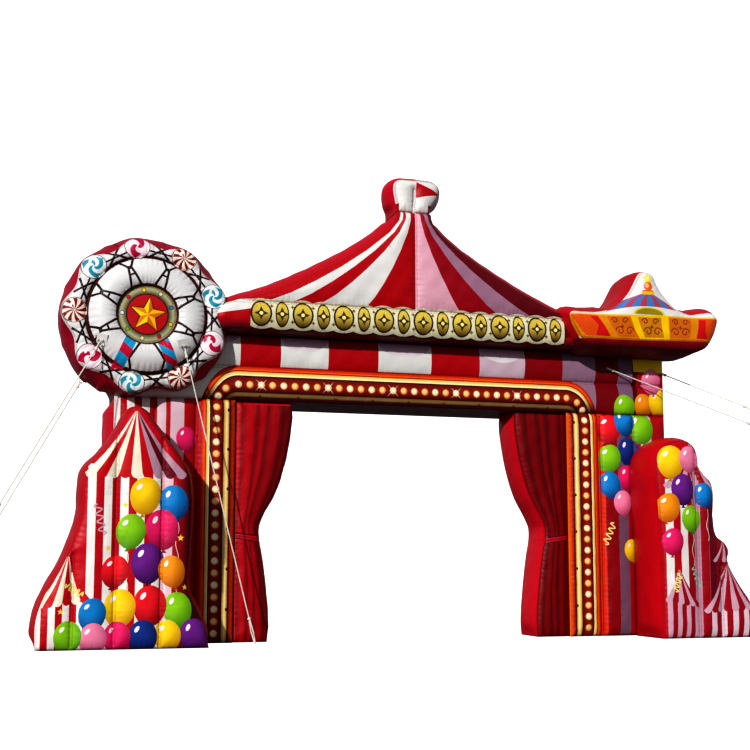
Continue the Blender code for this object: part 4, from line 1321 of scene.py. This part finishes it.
# %% Wings
WING_FRONT, WING_BACK = -0.65, -(TUBE_RISE + GAP)
WING_OUTER = 3.84
LEFT_WING = [
    (-2.225, 0), (-2.27, 0.20), (-2.37, 0.41), (-2.44, 0.56), (-2.43, 0.95), (-2.42, 1.50),
    (-2.46, 1.70), (-2.54, 1.83), (-2.66, 1.98), (-2.78, 2.14), (-2.86, 2.25), (-2.93, 2.29),
    (-2.99, 2.28), (-3.12, 2.07), (-3.27, 1.86), (-3.42, 1.69), (-3.44, 1.58), (-3.45, 1.28),
    (-3.51, 1.06), (-3.60, 0.82), (-3.73, 0.58), (-3.80, 0.42), (-WING_OUTER, 0.26), (-WING_OUTER, 0),
]
RIGHT_WING = [
    (2.68, 0), (2.68, 0.90), (2.65, 1.50), (2.645, 1.94), (2.70, 2.05), (2.83, 2.13), (2.98, 2.155),
    (3.10, 2.10), (3.15, 2.00), (3.165, 1.87), (3.24, 1.77), (3.31, 1.70), (3.335, 1.60), (3.325, 1.30),
    (3.36, 1.11), (3.47, 1.02), (3.505, 0.95), (3.49, 0.84), (3.53, 0.74), (3.64, 0.56), (3.74, 0.42),
    (3.80, 0.32), (WING_OUTER, 0.22), (WING_OUTER, 0),
][::-1]


def wing(node, points, seam_tops, seed, prints, ground, wall):
    outline = smoothed(points, corners=(0, len(points) - 1))
    outline[:, 1] = np.clip(outline[:, 1], 0, 9)
    closed = as_loop(outline)
    seams = []
    for x, top in seam_tops:
        line = np.array([(x, z) for z in np.arange(0.012, top, 0.018)])
        keep = within(line, outline) & (along(line, closed)[0] > 0.012)
        seams.append(line[keep])
    flat_back = lambda points, gap, run: np.zeros(len(points))
    return chamber(node, outline, WING_FRONT, WING_BACK, tubes(0.20, seed=seed), flat_back,
                   seams=seams, prints=prints, ground=ground, wall=wall, bulge=0.05,
                   flats=(("z", 0),), seed=seed)


def tent_top(apex, left, right, count, inks, drop=0.05, sag=0.10):
    """A fan of curved stripes from the apex to the eave, each with a scallop at its foot."""
    shapes = []
    for i in range(count):
        edges = []
        for t in (i / count, (i + 1) / count):
            foot = np.array([left[0] + (right[0] - left[0]) * t, left[1] + (right[1] - left[1]) * t])
            top = np.array([apex[0] + (t - 0.5) * 0.02, apex[1]])
            line = []
            for u in np.linspace(0, 1, 9):
                p = top + (foot - top) * u
                line.append((p[0], p[1] - sag * math.sin(math.pi * u) * abs(2 * t - 1)))
            edges.append(line)
        (x0, z0), (x1, z1) = edges[0][-1], edges[1][-1]
        scallop = [(x0 + (x1 - x0) * s, z0 + (z1 - z0) * s - drop * math.sqrt(math.sin(math.pi * s)))
                   for s in np.linspace(0, 1, 9)[1:-1]]
        shapes.append((edges[0] + scallop + edges[1][::-1], inks(i)))
    return shapes


def tent_stripes(x0, x1, z0, z1, width, first=0, inks=("#b8021a", "#efe9e2")):
    shapes = []
    for i, x in enumerate(np.arange(x0, x1 - 0.01, width)):
        shapes.append((strip(x, min(x + width, x1), z0, z1), inks[(i + first) % 2]))
    return shapes


def left_inks(i):
    # Painted shade: from the seventh stripe on, the tent roof turns to a mauve white and a dark red, where it
    # lies in shade.
    cream, red = (("#efe3cc", "#c20418"), ("#b892a2", "#6c0a1c"))[i > 5]
    return (cream, red)[i % 2]


LEFT_BALLOONS = [  # x, z, radius, ink, lean
    (-2.59, 1.40, 0.13, "blue", 0.2), (-2.86, 1.46, 0.14, "yellow", -0.15),
    (-2.70, 1.14, 0.15, "magenta", 0.1), (-2.99, 1.12, 0.13, "lime", -0.2),
    (-2.83, 0.82, 0.15, "purple", 0.0), (-2.60, 0.74, 0.12, "orange", 0.25),
    (-3.13, 0.74, 0.12, "red", -0.25), (-2.54, 0.38, 0.13, "lime", 0.15),
    (-2.80, 0.42, 0.15, "red", 0.0), (-3.08, 0.40, 0.14, "yellow", -0.1),
    (-3.33, 0.34, 0.12, "blue", -0.2), (-2.38, 0.13, 0.13, "purple", 0.2),
    (-2.63, 0.13, 0.12, "yellow", 0.1), (-2.86, 0.12, 0.13, "navy", 0.0),
    (-3.10, 0.12, 0.12, "magenta", 0.0), (-3.32, 0.11, 0.12, "pink", -0.1),
    (-3.55, 0.13, 0.12, "lime", -0.1),
]
LITTLE_STARS = [(-3.20, 0.95, 0.035), (-3.05, 1.36, 0.03), (-2.52, 1.05, 0.035), (-2.47, 0.58, 0.03),
                (-3.62, 0.36, 0.03)]


def left_print():
    shapes = [(strip(-3.5, -2.42, 0, 2.4), "#c20a22")]
    shapes += tent_stripes(-3.40, -2.55, 0, 1.75, 0.076, 1)
    # Painted shade towards the wing's right edge: a pink-tinted white stripe, then a red that darkens to near
    # black where the cloth turns away from the light.
    edge = blend("#a80a1c", "#3c0410", lambda x, z: (x + 2.56) / 0.13)
    shapes += [(strip(-2.70, -2.60, 0, 1.7), "#d9bcc2"), (strip(-2.60, -2.30, 0, 1.9), edge)]
    shapes += tent_top((-2.96, 2.268), (-3.43, 1.665), (-2.47, 1.665), 9, left_inks, sag=0.045)
    shapes += tent_stripes(-3.86, -3.42, 0, 0.45, 0.064, 1)
    shapes += tent_top((-3.56, 0.87), (-3.85, 0.42), (-3.36, 0.48), 6, left_inks, 0.04, 0.05)
    for x, z, r, ink, lean in LEFT_BALLOONS:
        shapes += balloon(x, z, 1.2 * r, ink, lean, 0.4 if z > 0.6 else 0)
    shapes += streamer(-3.28, 1.22, 0.30, "#c9a0b0", 0.2) + streamer(-3.50, 0.56, 0.18, "#e6d878", 0.9)
    return shapes + [(star(x, z, r), "#f2d64a") for x, z, r in LITTLE_STARS]


def wing_walls(main, foot_shade_ink="#5a0612"):
    # Painted shade: the wall turns dark maroon where it lies on the floor.
    def ink(x, z):
        return np.where((z < 0.01)[..., None], linear(foot_shade_ink), linear(main))
    return ink


LEFT_SEAMS = ((-3.13, 9), (-2.70, 9), (-3.52, 0.9))
wing("wing_left", LEFT_WING, LEFT_SEAMS, 11.0, left_print(), "#b40a1e", wing_walls("#b4061c"))


# %% Right wing
RIGHT_WING_BALLOONS = [
    (2.80, 1.92, 0.15, "yellow", -0.1), (3.02, 1.95, 0.12, "pink", 0.1),
    (2.93, 1.62, 0.14, "purple", 0.0), (2.76, 1.42, 0.13, "orange", -0.2),
    (3.20, 1.56, 0.11, "blue", 0.2), (3.03, 1.30, 0.12, "lime", 0.1),
    (2.80, 1.05, 0.12, "magenta", -0.1),
]


def right_inks(i):
    # Painted shade: the right wing's tent tops are a mauve white and a dark red, as white and red cloth in shade.
    return ("#c8a0ae", "#98081c")[i % 2]


def right_wing_print():
    # Painted shade: from x = 2.98 rightwards the stripes turn to dark red and mauve, a dark strip runs down the
    # tent's right side, the lower right is a dark red, and the low tents are printed in shaded pink and dark red.
    shapes = [(strip(2.5, 3.4, 0, 2.3), "#b4061c")]
    shapes += tent_stripes(2.72, 2.98, 0, 1.72, 0.086, 1, ("#b00218", "#ded6d2"))
    shapes += tent_stripes(2.98, 3.42, 0, 1.72, 0.086, 0, ("#98061c", "#b88898"))
    shapes += [(strip(3.24, 3.42, 0, 1.72), "#6a0a20")]
    shapes += tent_top((3.05, 2.12), (2.70, 1.66), (3.34, 1.62), 7, right_inks, 0.04, 0.06)
    shapes += [([(3.30, 0), (3.9, 0), (3.9, 1.2), (3.34, 1.2)], "#8a0a1c")]
    shapes += tent_stripes(2.72, 3.10, 0, 0.40, 0.054, 1, ("#98061c", "#c8a0ae"))
    shapes += tent_top((2.86, 0.74), (2.70, 0.42), (3.12, 0.36), 6, right_inks, 0.03, 0.04)
    shapes += tent_stripes(3.18, 3.84, 0, 0.34, 0.066, 0, ("#98061c", "#d8c0c8"))
    shapes += tent_top((3.47, 0.80), (3.16, 0.30), (3.84, 0.34), 8, right_inks, 0.035, 0.06)
    shapes += tent_top((3.42, 1.04), (3.28, 0.84), (3.52, 0.84), 4, right_inks, 0.02, 0.02)
    for x, z, r, ink, lean in RIGHT_WING_BALLOONS:
        shapes += balloon(x, z, 1.15 * r, ink, lean, 0.35 if z > 0.6 else 0)
    shapes += streamer(3.08, 0.66, 0.22, "#8fc0a8", 0.3)
    return shapes + streamer(2.84, 0.60, 0.2, "#e6d878", -0.3)


RIGHT_SEAMS = ((3.12, 9), (3.40, 0.80))
wing("wing_right", RIGHT_WING, RIGHT_SEAMS, 13.0, right_wing_print(), "#b40a1e", wing_walls("#c8061e"))

# %% [markdown]
# ## Curtains
# The curtains are air chambers too. Their folds are printed: dark and light bands that
# run from the heading down to the tie and out again, so every fold keeps its share of
# the width from top to floor.

# %% Curtains
CURTAIN_EDGE = [(1.52, 0), (1.51, 0.14), (1.54, 0.54), (1.59, 0.91), (1.62, 1.07), (1.62, 1.21),
                (1.57, 1.33), (1.45, 1.55), (1.36, 1.82), (1.29, 2.18), (1.27, 2.41), (1.28, SEAM_HEIGHT - GAP)]
TIE_LOW, TIE_HIGH = 1.03, 1.10
FOLD_EDGES = (0.0, 0.15, 0.41, 0.56, 0.82, 1.0)
CURTAIN_HEIGHTS, CURTAIN_REACH = zip(*sorted((z, x) for x, z in CURTAIN_EDGE))


def curtain_edge(z):
    return np.interp(z, CURTAIN_HEIGHTS, CURTAIN_REACH)


def fold_line(side, share):
    """The line of a fold: share 0 lies at the tower, share 1 at the free edge."""
    line = []
    for z in np.linspace(-0.01, SEAM_HEIGHT + 0.01, 26):
        bow = 0.026 * math.sin(3.1 * z + 5 * share) + 0.008 * math.sin(9 * z + 14 * share)
        bow *= 1 - abs(2 * share - 1)
        line.append((side * (1.90 + (curtain_edge(z) - 1.92) * share + bow), z))
    return line


FOLD_BANDS = [(0.0, 0.36, "dark", "light"), (0.36, 0.62, "light", "light"), (0.62, 0.86, "light", "dark"),
              (0.86, 1.0, "dark", "dark")]


def curtain_print(side):
    shapes = []
    for start, end in zip(FOLD_EDGES[:-1], FOLD_EDGES[1:]):
        for a, b, near, far in FOLD_BANDS:
            lo, hi = start + (end - start) * a, start + (end - start) * b
            # Painted shade: the left curtain darkens towards its free edge, where it turns away from the light,
            # and the right curtain, which lies in shade, is printed at 0.45 of the brightness.
            shade_factor = 1 - (0.8 * lo ** 2 if side < 0 else 0.55)
            tones = {"dark": linear("#8a0210") * shade_factor, "light": linear("#b80218") * shade_factor}
            shape = fold_line(side, lo) + fold_line(side, hi)[::-1]
            shapes.append((shape, folded(side, lo, hi, tones[near], tones[far])))
    tie = [(side * (1.92 - 0.36 * t), TIE_HIGH - 0.05 * t) for t in np.linspace(0, 1, 8)]
    return shapes + [(ribbon(tie, TIE_HIGH - TIE_LOW), "#4a0410"), (ribbon(tie, 0.045), "#b80c22"),
                     (ribbon(tie, 0.010), "#7c0414"), (strip(-1.80, -1.20, 2.462, 2.51), "#c00c24")]


def folded(side, lo, hi, near, far):
    """An ink that runs from one tone to another across a fold."""
    def ink(x, z):
        share = (side * x - 1.90) / (curtain_edge(z) - 1.92)
        t = np.clip((share - lo) / (hi - lo), 0, 1)[..., None]
        return near + (far - near) * t
    return ink


def curtain(side, prints, ground, wall):
    outer = OPENING_HALF - GAP
    points = [(outer, 0), (outer, SEAM_HEIGHT - GAP)] + CURTAIN_EDGE[::-1]
    if side < 0:
        points = [(-x, z) for x, z in reversed(points)]
    corners = {i for i, (x, z) in enumerate(points) if abs(x) > 1.8 or z < 0.01 or z > 2.49}
    outline = smoothed(points, corners)
    outline[:, 1] = np.clip(outline[:, 1], 0, SEAM_HEIGHT - GAP)
    node = "curtain_left" if side < 0 else "curtain_right"
    return chamber(node, outline, 0.05, 0.50, tubes(0.16, 0.045, seed=15.0), prints=prints,
                   ground=ground, wall=wall, bulge=0.035, seed=15.0,
                   flats=(("x", side * outer), ("z", 0), ("z", SEAM_HEIGHT - GAP)))


curtain(-1, curtain_print(-1), "#8a0612", "#d00a26")
curtain(1, curtain_print(1), "#8a0612", "#d00a26")

# %% [markdown]
# ## Light, floor and backdrop
# One low sun from the front left gives the hard shadows that make blown cloth look
# round, and a pale, slightly blue sky fills them. The floor glows for the camera alone,
# so the arch stands on white but is lit from below as by dull ground.

# %% Stage
FLOOR_GLOW = 0.93


def stage_finish(name, ink):
    mat, tree, shader = new_material(name, ink)
    place = add(tree, "ShaderNodeTexCoord").outputs["Object"]
    grain = add(tree, "ShaderNodeTexNoise", Vector=place, Scale=3.0, Detail=3.0)
    tint = add(tree, "ShaderNodeMapRange", Value=grain.outputs["Fac"], i3=0.97, i4=1.0)
    grey = tint.outputs["Result"]
    shown = add(tree, "ShaderNodeMixRGB", {"blend_type": "MULTIPLY"}, i0=1.0, i1=rgba(ink), i2=grey)
    join(tree, shown.outputs["Color"], shader, "Base Color")
    seen = add(tree, "ShaderNodeLightPath").outputs["Is Camera Ray"]
    shader.inputs["Emission Color"].default_value = (1, 1, 1, 1)
    join(tree, maths(tree, "MULTIPLY", seen, FLOOR_GLOW), shader, "Emission Strength")
    shader.inputs["Roughness"].default_value = 0.9
    return mat


bpy.ops.mesh.primitive_plane_add(size=200)
floor = bpy.context.object
floor.name = "floor"
floor.location = (0, 0, -0.002)
floor.data.materials.append(stage_finish("pale_floor", "#5e5c5a"))

SUN_LEFT, SUN_UP = 36, 24
sun_data = bpy.data.lights.new("sun", "SUN")
sun_data.energy = 2.85
sun_data.angle = math.radians(1.5)
sun = bpy.data.objects.new("sun", sun_data)
sun.rotation_euler = (math.radians(90 - SUN_UP), 0, math.radians(-SUN_LEFT))
bpy.context.scene.collection.objects.link(sun)
world = bpy.data.worlds.new("studio")
world.use_nodes = True
sky = world.node_tree
sky.nodes["Background"].inputs["Color"].default_value = rgba("#eef2fa")
sky.nodes["Background"].inputs["Strength"].default_value = 0.38
backdrop = add(sky, "ShaderNodeBackground", Color=(1, 1, 1, 1), Strength=1.0)
seen = add(sky, "ShaderNodeLightPath").outputs["Is Camera Ray"]
shown = add(sky, "ShaderNodeMixShader", i0=seen, i1=sky.nodes["Background"].outputs[0],
            i2=backdrop.outputs[0])
join(sky, shown.outputs[0], sky.nodes["World Output"], "Surface")
bpy.context.scene.world = world
bpy.context.scene.view_settings.view_transform = "Standard"
bpy.context.scene.view_settings.look = "High Contrast"
